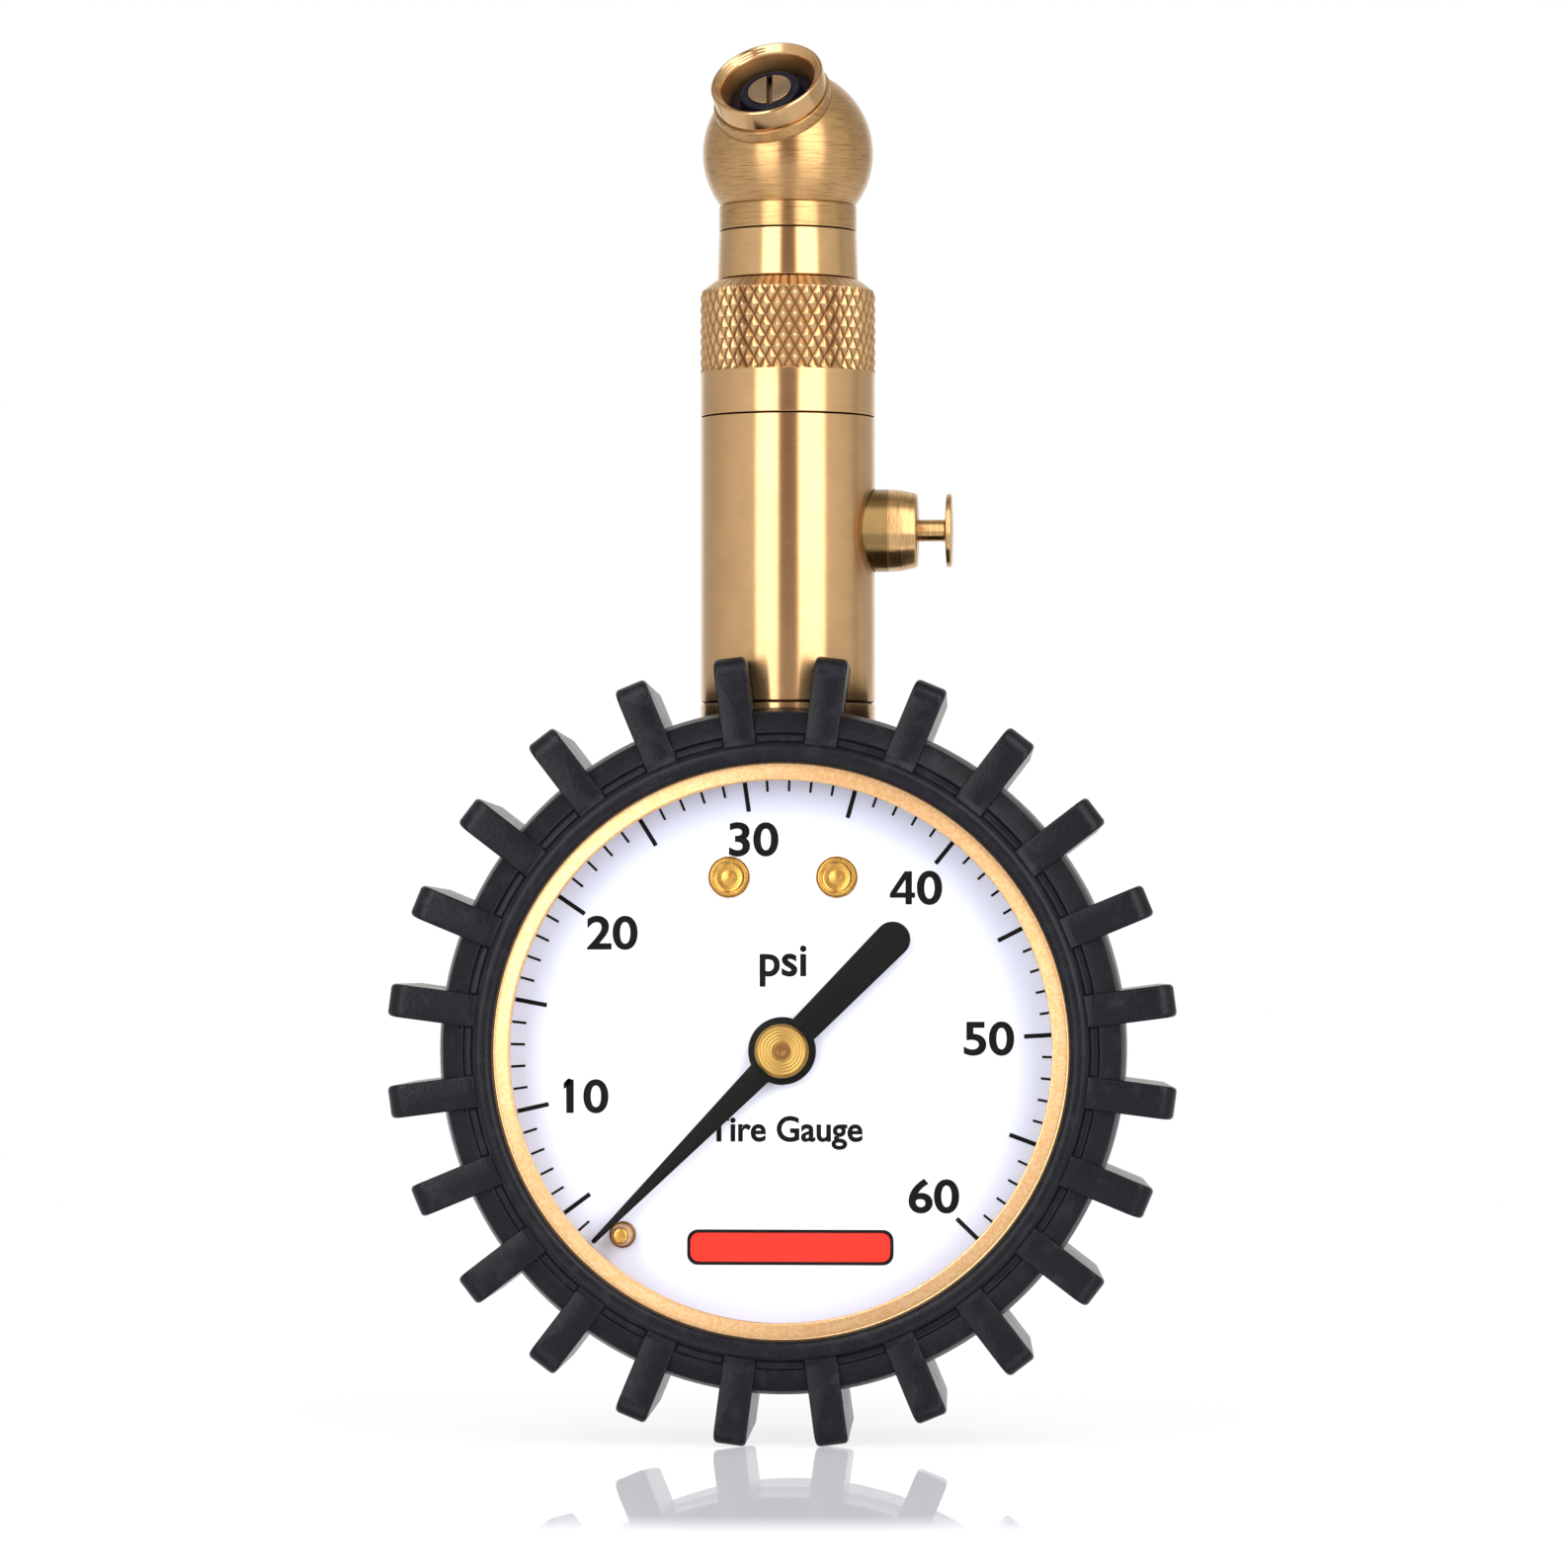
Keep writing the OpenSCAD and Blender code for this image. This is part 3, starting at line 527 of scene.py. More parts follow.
def lug_bar():
    """The bar of a lug along +X, with a rolled crown, rounded corners and a tip that drops to the back."""
    crown = 1.5
    corner = 0.42
    draft = 0.9
    root = 27.7
    stations = []
    for a in (90, 78, 66, 54, 42, 30, 15, 0):
        drop = crown * (1 - math.sin(deg(a)))
        inset = lug_edge - math.sqrt(lug_edge ** 2 - (lug_edge - drop) ** 2) if drop < lug_edge else 0
        tip = lug_tip - crown + crown * math.cos(deg(a))
        stations.append((lug_front - drop, tip, lug_half - inset))
    back = lug_front - lug_depth
    stations.append((back + 0.3, lug_tip - draft, lug_half))
    stations.append((back + 0.08, lug_tip - draft - 0.1, lug_half - 0.08))
    stations.append((back, lug_tip - draft - 0.3, lug_half - 0.25))
    bm = bmesh.new()
    rings = []
    for height, tip, wide in stations:
        outline = [(root, -wide), *arc((tip - corner, corner - wide), corner, deg(-90), 0),
                   *arc((tip - corner, wide - corner), corner, 0, deg(90)), (root, wide)]
        rings.append([bm.verts.new((x, y, height)) for x, y in outline])
    count = len(rings[0])
    for upper, lower in zip(rings, rings[1:]):
        for i in range(count):
            j = (i + 1) % count
            bm.faces.new((upper[i], upper[j], lower[j], lower[i]))
    bm.faces.new(rings[0])
    bm.faces.new(rings[-1])
    bmesh.ops.recalc_face_normals(bm, faces=bm.faces)
    return bm


def lug_ramp():
    """The short ramp that joins a lug to the lip, as a prism across the lug."""
    side = rounded([
        (26.6, lug_front - 0.7, 0), (27.3, lug_front + 0.5, 0.5), (28.2, lug_front - 0.04, 0.4),
        (28.8, lug_front - 0.3, 0), (28.8, lug_front - 2, 0), (26.6, lug_front - 2, 0)])
    return prism(side, 0.02 - lug_half, lug_half - 0.02, lug_edge)


def lug_web(way):
    """The hollow fillet between a lug's foot and the ring, on one side of the lug."""
    fillet = 0.42
    floor = 11.75
    side = way * (lug_half - 0.05)
    curve = [Vector((side, floor)), Vector((side, floor + fillet))]
    for a in (deg(30), deg(60), deg(90)):
        across = side + way * fillet * (1 - math.cos(a))
        curve.append(Vector((across, floor + fillet * (1 - math.sin(a)))))
    return prism(curve, 27.2, 28.45)


def lug():
    """One lug that points along +X."""
    upright = Matrix.Rotation(deg(90), 4, "X")
    along = Matrix.Rotation(deg(90), 4, "Z") @ upright
    return merged((lug_bar(), ON_STEM), (lug_ramp(), upright), (lug_web(-1), along), (lug_web(1), along))


def guard():
    whole = as_object("guard", guard_ring(), ON_DIAL)
    turns = [Matrix.Rotation(TAU / lug_count * (i + 0.5), 4, "Z") for i in range(lug_count)]
    lugs = merged(*((lug(), turn) for turn in turns))
    combine(whole, as_object("lugs", lugs, ON_DIAL), "UNION")
    hole_r = stem_r + 0.06
    foot = stem_low.z - 0.05
    clear_of_stem = turned([(0, foot), (hole_r, foot), (hole_r, stem_high.z), (0, stem_high.z)], 96)
    combine(whole, as_object("cutter", clear_of_stem), "DIFFERENCE")
    finished(whole, "gauge_body", black_rubber, ["guard"], 28)


# ------------------------------------------------------------------ dial and its front

def bezel():
    """The bezel, whose face falls away a little towards its rim."""
    front = -bezel_low.y
    back = 7
    lip = front - 0.58
    opening_r = 24.25
    skirt_r = bezel_r - 0.43
    turned_piece("bezel", [
        (opening_r, lip, 0), (opening_r, front - 0.02, 0.1), (opening_r + 0.2, front, 0.1),
        (bezel_r - 0.12, front - 0.24, 0.03), (bezel_r, front - 0.2, 0.03), (bezel_r, back, 0.1),
        (skirt_r, back, 0), (skirt_r, lip, 0)],
        ON_DIAL, "gauge_body", gold, ["bezel"], 192)


psi_zero_angle = 240.3
psi_step = 4.738
first_mark = 4
full_scale = 60


def psi_angle(psi):
    """Direction of a pressure on the dial, counter-clockwise from the right."""
    return deg(psi_zero_angle - psi_step * psi)


print_low = dial_face - 0.005
print_high = dial_face + 0.02
number_size = 4.15
number_weight = 0.1
number_squeeze = 1.13


def scale_marks():
    """Printed marks: one for each psi, longer and wider at each five."""
    outer = 24.6
    marks = []
    for psi in range(first_mark, full_scale + 1):
        major = psi % 5 == 0
        inner = 21.7 if major else 23.3
        half = (0.4 if major else 0.23) / 2
        bar = prism([(inner, -half), (outer, -half), (outer, half), (inner, half)], print_low, print_high)
        marks.append((bar, Matrix.Rotation(psi_angle(psi), 4, "Z")))
    made = as_object("scale_marks", merged(*marks), ON_DIAL)
    finished(made, "gauge_body", ink)


def printed(name, outline, place):
    """A printed shape on the dial."""
    bar = prism(outline, print_low, print_high)
    return as_object(name, bar, ON_DIAL @ Matrix.Translation((*place, 0)))


def lettering(name, text, size, place, weight, squeeze=1.0):
    """Printed text centred on a place on the dial."""
    curve = bpy.data.curves.new(name, "FONT")
    curve.body = text
    curve.size = size
    curve.offset = weight
    curve.extrude = (print_high - print_low) / 2
    curve.align_x = "CENTER"
    curve.resolution_u = 6
    mesh = mesh_of_curve(curve)
    heights = [v.co.y for v in mesh.vertices]
    middle = (min(heights) + max(heights)) / 2
    stand = Matrix.Translation((place[0], place[1], (print_low + print_high) / 2))
    mesh.transform(Matrix.Scale(MM, 4) @ ON_DIAL @ stand @ Matrix.Diagonal((squeeze, 1, 1, 1))
                   @ Matrix.Translation((0, -middle, 0)))
    made = bpy.data.objects.new(name, mesh)
    scene.collection.objects.link(made)
    finished(made, "gauge_body", ink)


def number_four(place):
    """The 4 of 40, drawn as its own outline because the font's one closes up when it is thickened."""
    foot = -1.5
    bar_low = -0.9
    bar_high = -0.42
    left = -2.34
    stem_left = -0.93
    stem_right = -0.34
    right = -0.06
    outline = [
        (left, bar_low), (stem_left, bar_low), (stem_left, foot), (stem_right, foot), (stem_right, bar_low),
        (right, bar_low), (right, bar_high), (stem_right, bar_high), (stem_right, -foot),
        (stem_left - 0.07, -foot), (left, bar_high - 0.08)]
    triangle = [(stem_left, bar_high), (stem_left, 0.72), (-1.7, bar_high)]
    opening = prism(triangle, print_low - 1, print_high + 1)
    four = printed("number_four", outline, place)
    there = ON_DIAL @ Matrix.Translation((*place, 0))
    combine(four, as_object("cutter", opening, there), "DIFFERENCE")
    finished(four, "gauge_body", ink)


def numbers():
    """A number at each ten psi, all with the same gap to the marks."""
    edge = 20.7
    half_w = 2.2
    half_h = 1.5
    four_w = 1.23
    flag_outline = [(-1.75, 0.62), (-1.1, 1.1), (-1.1, 1.6), (-1.32, 1.6), (-1.75, 1.2)]
    for psi in range(10, full_scale + 1, 10):
        a = psi_angle(psi)
        distance = edge - math.hypot(half_w * math.cos(a), half_h * math.sin(a))
        spot = Vector((distance * math.cos(a), distance * math.sin(a)))
        text = str(psi)
        if psi == 40:
            number_four(spot)
            text = "0"
            spot.x += four_w
        lettering(f"number_{psi}", text, number_size, spot, number_weight, number_squeeze)
        if psi == 10:
            flag = printed("number_flag", flag_outline, spot)
            finished(flag, "gauge_body", ink)


def band():
    """A plain red band with a thin dark frame, low on the dial."""
    place = (0.65, -17.7, 0)
    width = 18
    height = 2.6
    frame_w = 0.3
    for name, grow, lift, look in (("band_frame", frame_w, 0, ink), ("band", 0, 0.008, red_ink)):
        x = width / 2 + grow
        y = height / 2 + grow
        corner_r = y * 0.6
        outline = rounded([(-x, -y, corner_r), (x, -y, corner_r), (x, y, corner_r), (-x, y, corner_r)])
        bar = prism(outline, print_low, print_high + lift)
        made = as_object(name, bar, ON_DIAL @ Matrix.Translation(place))
        finished(made, "gauge_body", look)


def dial_print():
    """Marks, numbers and words on the dial, and a plain red band."""
    scale_marks()
    numbers()
    lettering("unit", "psi", 4.1, (0, 7.6), 0.09)
    lettering("words", "Tire Gauge", 3.15, (0.25, -7.4), 0.08, 0.97)
    band()


def dial_screws():
    """The two round heads above the middle of the dial, each dished round a small point."""
    high = box_mm("dial_screws")[1]
    head_r = 1.87
    gap = high.x - head_r
    rise = high.z - head_r - dial_z
    outline = rounded([
        (0, dial_face - 0.02, 0), (head_r, dial_face - 0.02, 0), (head_r, dial_face + 0.42, 0.16),
        (1.66, dial_face + 0.6, 0.14), (1.42, dial_face + 0.6, 0.1), (1.2, dial_face + 0.44, 0.3),
        (0.7, dial_face + 0.4, 0.5), (0.3, dial_face + 0.46, 0.3), (0, dial_face + 0.5, 0)])
    heads = [(turned(outline, 64), Matrix.Translation((way * gap, rise, 0))) for way in (-1, 1)]
    made = as_object("dial_screws", merged(*heads), ON_DIAL)
    finished(made, "gauge_body", bright_brass, ["dial_screws"])


def stop_pin():
    """A pin that tapers from its foot, whose foot is darkened with painted shade where it meets the dial."""
    low, high = box_mm("stop_pin")
    middle = (low + high) / 2
    there = ON_DIAL @ Matrix.Translation((middle.x, middle.z - dial_z, 0))
    foot_r = 1.2
    foot = dial_face - 0.02
    step = dial_face + 0.5
    made = turned_piece("stop_pin", [
        (0, foot, 0), (foot_r, foot, 0), (foot_r, step, 0.15), (1.02, step, 0.05), (0.72, -low.y, 0.3),
        (0, -low.y, 0)],
        there, "gauge_body", bright_brass, ["stop_pin"], 48)
    # painted shade: the pin's foot takes the dark copper of the arbor's end
    repaint(made, arbor_bronze_and_pin_shade, lambda spot: -spot.y < step + 0.02)


# ------------------------------------------------------------------ pointer

pointer_rest = 225.3
hub_low = -pointer_high.y
hub_high = -pointer_low.y


def pointer():
    """A tapering needle, a hub disc and a paddle tail with a round end."""
    hub_r = 3.05
    tip_r = 24.3
    tip_half = 0.22
    needle_half = 1.1
    tail_half = 1.33
    tail_r = 14.1
    tail_end = 1.6
    needle_at = math.asin(needle_half / hub_r)
    tail_at = math.pi - math.asin(tail_half / hub_r)
    outline = arc((tip_r - tip_half, 0), tip_half, deg(-80), deg(80), deg(40))
    outline += arc((0, 0), hub_r, needle_at, tail_at, deg(5))
    outline += arc((-tail_r, 0), tail_end, deg(92), deg(268), deg(9))
    outline += arc((0, 0), hub_r, -tail_at, -needle_at, deg(5))
    there = ON_DIAL @ Matrix.Rotation(deg(pointer_rest), 4, "Z")
    made = as_object("pointer", prism(outline, hub_low, hub_high, 0.1), there)
    finished(made, "pointer_set", pointer_black, ["pointer"])


def pointer_cap():
    """Brass cap with turning rings, and the copper-coloured end of the arbor."""
    top = -box_mm("pointer_cap")[0].y
    cap_r = 2.43
    spigot_r = 1.15
    hole_r = 0.62
    spigot = hub_high - 0.2
    rings = 5
    face = []
    for i in range(rings):
        r = 2.05 - i * 0.28
        face += [(r, top, 0.04), (r - 0.1, top - 0.03, 0.03), (r - 0.18, top - 0.03, 0.03)]
    turned_piece("pointer_cap", [
        (hole_r, spigot, 0), (spigot_r, spigot, 0), (spigot_r, hub_high, 0), (cap_r, hub_high, 0.05),
        (cap_r, top - 0.28, 0.12), (2.16, top, 0.12), *face, (hole_r, top, 0.02)],
        ON_DIAL, "pointer_set", cap_brass, ["pointer_cap"], 96)
    end_r = 0.74
    end = -box_mm("pointer_arbor")[0].y
    turned_piece("arbor_end", [
        (0, top - 0.1, 0), (end_r, top - 0.1, 0), (end_r, end + 0.04, 0.03), (0.4, end + 0.04, 0.01),
        (0.34, end + 0.012, 0), (0, end + 0.012, 0)],
        ON_DIAL, "pointer_set", arbor_bronze_and_pin_shade, (), 48)


# ------------------------------------------------------------------ stem and nut

spotface_r = 3.9
boss_r = 3.77
seam_gap = 0.07


def stem():
    """The stem: its skirt with a fine groove, its bores and the hole for the bleeder's boss."""
    low, high = stem_low.z, nut_low.z
    top = high - seam_gap
    skirt_h = 2.4
    skirt_r = 6.55
    groove_r = stem_r - 0.3
    groove_w = 0.2
    spigot_r = 6
    gland_r = 3.6
    chamber_r = 2.8
    passage_r = 1.3
    nipple_r = 4.87
    nipple_h = 9.9
    seat = low + skirt_h
    line = seat - 0.32
    made = as_object("stem", turned(rounded([
        (skirt_r, low, 0), (stem_r, low, 0.1), (stem_r, line, 0.05), (groove_r, line, 0),
        (groove_r, line + groove_w, 0), (stem_r, line + groove_w, 0.08), (stem_r, top, 0.06),
        (spigot_r, top, 0), (spigot_r, stem_high.z, 0), (gland_r, stem_high.z, 0), (gland_r, high - 1.3, 0),
        (chamber_r, high - 1.3, 0), (chamber_r, high - 7, 0), (passage_r, high - 7, 0),
        (passage_r, seat + nipple_h, 0), (nipple_r, seat + nipple_h, 0), (nipple_r, seat, 0),
        (skirt_r, seat, 0)]), 192))
    cutter = turned([
        (0, -4.8), (2.6, -4.8), (2.6, 3.5), (3.25, 3.5), (3.25, 6.4), (spotface_r, 6.4), (spotface_r, 9),
        (0, 9)], 96)
    combine(made, as_object("cutter", cutter, ON_BLEEDER), "DIFFERENCE")
    finished(made, "gauge_body", stem_brass, ["stem"])
    # painted shade: the stem's top face in the seam under the nut, and the floor of its fine groove
    repaint(made, seam_shade, lambda spot: abs(spot.z - top) < 0.001 or line < spot.z < line + groove_w)


knurl_starts = 44
knurl_pitch = 1.93
knurl_depth = 0.3
knurl_cells = 8
knurl_low = nut_low.z + 4
nut_chamfer = 1.4
chamfer_h = 1.05


def knurl_cut(around, up):
    """How much of the knurl's depth is cut away, for places counted in diamonds."""
    first = abs((around + up) - round(around + up))
    second = abs((around - up) - round(around - up))
    return max(0.0, 1 - min(first, second) / 0.44)


def gland_nut():
    """The swivel nut: a plain band, a zone of diamond knurling and a wide chamfer."""
    top = nut_high.z
    chamfer_start = top - chamfer_h
    across = knurl_starts * knurl_cells
    row_h = knurl_pitch / knurl_cells
    base = nut_low.z + seam_gap
    bore_r = 4.55
    rows = [(bore_r, base, False), (stem_r - 0.06, base, False), (stem_r - 0.02, base + 0.03, False),
            (stem_r, base + 0.08, False), (stem_r, knurl_low - 0.3, False)]
    first_knurled = len(rows)
    count = int((chamfer_start + 0.3 - knurl_low) / row_h)
    rows += [(stem_r + 0.03, knurl_low + i * row_h, True) for i in range(count + 1)]
    rows += [(stem_r, top, False), (stem_r - nut_chamfer, top, False), (bore_r, top, False)]
    bm = bmesh.new()
    rings = []
    for j, (radius, z, knurled) in enumerate(rows):
        ring = []
        for i in range(across):
            r = radius
            if knurled:
                up = (j - first_knurled) / knurl_cells
                fade = min(1.0, (z - knurl_low) / 0.25)
                r -= knurl_depth * fade * knurl_cut(i / knurl_cells, up)
            slope = stem_r + 0.03 - nut_chamfer * (z - chamfer_start) / chamfer_h
            r = min(r, max(slope, stem_r - nut_chamfer))
            a = TAU * i / across
            ring.append(bm.verts.new((r * math.cos(a), r * math.sin(a), z)))
        rings.append(ring)
    rings.append(rings[0])
    for j, (low, high) in enumerate(zip(rings, rings[1:])):
        knurled = first_knurled <= j < first_knurled + count
        for i in range(across):
            k = (i + 1) % across
            if not knurled:
                bm.faces.new((low[i], low[k], high[k], high[i]))
            elif (i - j + first_knurled) % knurl_cells == 0:
                bm.faces.new((low[i], low[k], high[k]))
                bm.faces.new((low[i], high[k], high[i]))
            else:
                bm.faces.new((low[i], low[k], high[i]))
                bm.faces.new((low[k], high[k], high[i]))
    bmesh.ops.recalc_face_normals(bm, faces=bm.faces)
    made = as_object("gland_nut", bm)
    finished(made, "gauge_body", stem_brass, ["gland_nut"], 12)
    repaint(made, knurl_brass, lambda spot: knurl_low < spot.z < chamfer_start)
    # painted shade: the nut's bottom face in the seam over the stem
    repaint(made, seam_shade, lambda spot: abs(spot.z - base) < 0.001)


# ------------------------------------------------------------------ bleeder

def bleeder():
    """The boss with a bright, rounded end, and the button whose stalk ends in a disc."""
    low = boss_low.x
    end = boss_high.x
    seat_r = 3.25
    seat = 6.42
    hole_r = 1.05
    groove_r = boss_r - 0.06
    change = 9.2
    made = turned_piece("bleeder_boss", [
        (hole_r, low, 0), (seat_r, low, 0), (seat_r, seat, 0), (boss_r, seat, 0), (boss_r, change, 0.02),
        (groove_r, change + 0.03, 0), (groove_r, change + 0.1, 0), (boss_r - 0.01, change + 0.14, 0.03),
        (3.68, 10.4, 0.4), (3.35, end, 0.35), (1.3, end, 0.1), (hole_r, end - 0.2, 0)],
        ON_BLEEDER, "gauge_body", bleeder_brass, ["bleeder_boss"])
    # darker brass from inside the stem out to the boss's groove
    repaint(made, darker_boss_brass, lambda spot: spot.x < change)
    inner = button_low.x
    outer = button_high.x
    flange_r = 2.2
    flange_h = 0.6
    disc_r = button_high.z - bleeder_z
    turned_piece("bleeder_button", [
        (0, inner, 0), (flange_r, inner, 0), (flange_r, inner + flange_h, 0), (1, inner + flange_h, 0),
        (1, outer - 0.55, 0.3), (disc_r, outer - 0.5, 0.14), (disc_r, outer, 0.2), (0, outer, 0)],
        ON_BLEEDER, "button_set", bleeder_brass, ["bleeder_button"], 96)


# ------------------------------------------------------------------ swivelling head

def neck():
    """The neck: its spigot and flange inside the nut, and the plain barrel above it."""
    low, high = neck_low.z, neck_high.z
    base = nut_high.z + 0.1
    top = ball_low.z - seam_gap
    passage_r = 1.3
    spigot_r = 3.55
    flange_r = 5.7
    flange_low = stem_high.z + 0.05
    flange_high = nut_high.z - 4.15
    made = turned_piece("neck", [
        (passage_r, low, 0), (spigot_r, low, 0), (spigot_r, flange_low, 0), (flange_r, flange_low, 0),
        (flange_r, flange_high, 0), (4.5, flange_high, 0), (4.5, base, 0), (6.4, base, 0.2),
        (6.26, top, 0.05), (3.9, top, 0), (3.9, high, 0), (passage_r, high, 0)],
        ON_STEM, "swivel_head", stem_brass, ["neck"], 192)
    # painted shade: the neck's faces in the seams over the nut and under the ball
    repaint(made, seam_shade, lambda spot: abs(spot.z - top) < 0.001 or abs(spot.z - base) < 0.001)


band_d = 6.7
band_r = 5.38
face_d = 8.8
seal_d = 6.2
chuck_floor = 3.5


def ball():
    """A ball on its collar, with the seat of the chuck's ring cut into it."""
    pocket = 3.4
    seat_r = 4.67
    groove_r = band_r - 0.07
    start = math.pi / 2 - math.asin((band_r + 0.03) / ball_r)
    sphere = arc((0, 0), ball_r, start, -math.pi / 2, deg(2.5))
    sphere[-1].x = 0
    meet = sphere[0].y
    outline = rounded([(0, pocket, 0), (seat_r, pocket, 0), (seat_r, band_d, 0), (band_r, band_d, 0.1),
                       (band_r, meet + 0.12, 0.03), (groove_r, meet + 0.06, 0)], closed=False)
    outline += [Vector((groove_r, meet + 0.02))] + sphere
    globe = (turned(outline, 192, False), ON_CHUCK)
    foot = ball_low.z + 0.07
    ledge = ball_low.z + 2.3
    bore_r = 3.95
    collar_r = 6.25
    collar = rounded([(bore_r, foot, 0), (collar_r, foot, 0.05), (collar_r, ledge, 0.1),
                      (5.6, ledge + 0.05, 0), (bore_r, ledge + 0.9, 0)])
    made = as_object("ball_head", merged(globe, (turned(collar, 192), ON_STEM)))
    finished(made, "swivel_head", ball_brass, ["ball_head"])


def chuck_ring():
    """The ring that holds the seal: a rim over a groove, and a bevel cut in steps inside its mouth."""
    rim_r = 5.16
    mouth_r = 4.0
    bevel_r = 4.85
    bevel_end = 4.3
    bevel_h = 0.55
    steps = 3
    thread_r = 4.65
    pocket_r = 4.2
    groove_r = 5.02
    foot = band_d + 0.02
    bevel = []
    for i in range(steps):
        r = bevel_r - (bevel_r - bevel_end) * i / steps
        d = face_d - 0.06 - bevel_h * i / steps
        bevel += [(r, d, 0.03), (r - 0.1, d - 0.05, 0.05)]
    made = turned_piece("chuck_ring", [
        (thread_r, foot, 0), (groove_r, foot, 0), (groove_r, foot + 0.15, 0.03), (rim_r, foot + 0.18, 0.05),
        (rim_r, face_d - 0.12, 0.1), (rim_r - 0.12, face_d, 0.05), (bevel_r + 0.08, face_d, 0.04), *bevel,
        (bevel_end, face_d - bevel_h - 0.1, 0.05), (mouth_r, face_d - 2.1, 0.2), (mouth_r, seal_d, 0),
        (pocket_r, seal_d, 0), (pocket_r, chuck_floor, 0), (thread_r, chuck_floor, 0)],
        ON_CHUCK, "swivel_head", chuck_brass, ["chuck_ring"])
    to_ring = ON_CHUCK.inverted()
    repaint(made, bore_brass, lambda spot: (to_ring @ spot).xy.length < bevel_end + 0.02)


def valve_parts():
    """The seal with its raised boss, and the slotted disc in the middle of it."""
    disc_r = 2.0
    disc_low = 5.0
    disc_top = face_d - 1.25
    boss_top = disc_top - 0.12
    hole_r = disc_r + 0.02
    seal_r = 4.19
    turned_piece("valve_seal", [
        (hole_r, chuck_floor, 0), (seal_r, chuck_floor, 0), (seal_r, seal_d - 0.02, 0.2),
        (2.95, seal_d, 0.25), (2.7, boss_top, 0.2), (hole_r, boss_top - 0.04, 0.06)],
        ON_CHUCK, "swivel_head", seal_rubber, ["valve_seal"], 96)
    slot_half = 0.26
    chord = math.pi / 2 - math.asin(slot_half / disc_r)
    halves = []
    for middle in (0, math.pi):
        outline = arc((0, 0), disc_r, middle - chord, middle + chord, deg(6))
        halves.append((prism(outline, disc_low, disc_top, 0.06), ON_STEM))
    pin_r = 1.2
    base_r = disc_r - 0.01
    base = turned([
        (0, 1.8), (pin_r, 1.8), (pin_r, 3.4), (base_r, 3.4), (base_r, 6.6), (0, 6.6)], 64)
    slot_turn = Matrix.Rotation(deg(13.2), 4, "Z")
    made = as_object("depressor", merged(*halves, (base, ON_STEM)), ON_CHUCK @ slot_turn)
    finished(made, "swivel_head", disc_brass, ["depressor"])


# ------------------------------------------------------------------ back

def case_back():
    """Slotted screw heads and the rubber blow-out plug."""
    back = -box_mm("case")[1].y
    inner = back + 0.02
    high = box_mm("case_screws")[1]
    head_r = 2.2
    head = back - 1.1
    slot = [(-3, -0.3), (3, -0.3), (3, 0.3), (-3, 0.3)]
    heads = []
    slots = []
    for way in (-1, 1):
        there = Matrix.Translation((way * (high.x - head_r), high.z - head_r - dial_z, 0))
        outline = rounded([(0, head, 0), (head_r, head, 0.3), (head_r, inner, 0), (0, inner, 0)])
        heads.append((turned(outline, 64), there))
        slots.append((prism(slot, back - 1.5, back - 0.55), there))
    made = as_object("case_screws", merged(*heads), ON_DIAL)
    combine(made, as_object("slots", merged(*slots), ON_DIAL), "DIFFERENCE")
    finished(made, "gauge_body", steel, ["case_screws"])
    low, high = box_mm("blowout_plug")
    there = ON_DIAL @ Matrix.Translation((0, (low.z + high.z) / 2 - dial_z, 0))
    plug_r = high.x
    neck_r = plug_r - 0.7
    flange = back + 0.01
    turned_piece("blowout_plug", [
        (0, back - 0.45, 0), (3.2, back - 0.45, 0.2), (3.5, back - 0.7, 0.2), (plug_r, back - 0.7, 0.3),
        (plug_r, flange, 0), (neck_r, flange, 0), (neck_r, back + 1.1, 0), (0, back + 1.1, 0)],
        there, "gauge_body", seal_rubber, ["blowout_plug"], 96)


# ------------------------------------------------------------------ springs

def spring(node, turns, wire_r, axis):
    """A coil of wire wound along an axis from its seat, the low end of its node's box."""
    low, high = box_mm(node)
    length = (high - low).dot(axis)
    seat = (low + high) / 2 - axis * length / 2
    coil_r = (high.y - low.y) / 2 - wire_r
    curve = bpy.data.curves.new(node, "CURVE")
    curve.dimensions = "3D"
    curve.bevel_depth = wire_r
    curve.bevel_resolution = 2
    curve.use_fill_caps = True
    path = curve.splines.new("POLY")
    steps = turns * 24
    path.points.add(steps)
    for i, point in enumerate(path.points):
        a = deg(360 * turns * i / steps)
        rise = wire_r + (length - 2 * wire_r) * i / steps
        point.co = (coil_r * math.cos(a), coil_r * math.sin(a), rise, 1)
    mesh = mesh_of_curve(curve)
    turn = Vector((0, 0, 1)).rotation_difference(axis).to_matrix().to_4x4()
    mesh.transform(Matrix.Scale(MM, 4) @ Matrix.Translation(seat) @ turn)
    made = bpy.data.objects.new(f"wound_{node}", mesh)
    scene.collection.objects.link(made)
    finished(made, "gauge_body", steel, [node])
    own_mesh(made)


# ------------------------------------------------------------------ CAD nodes that stay

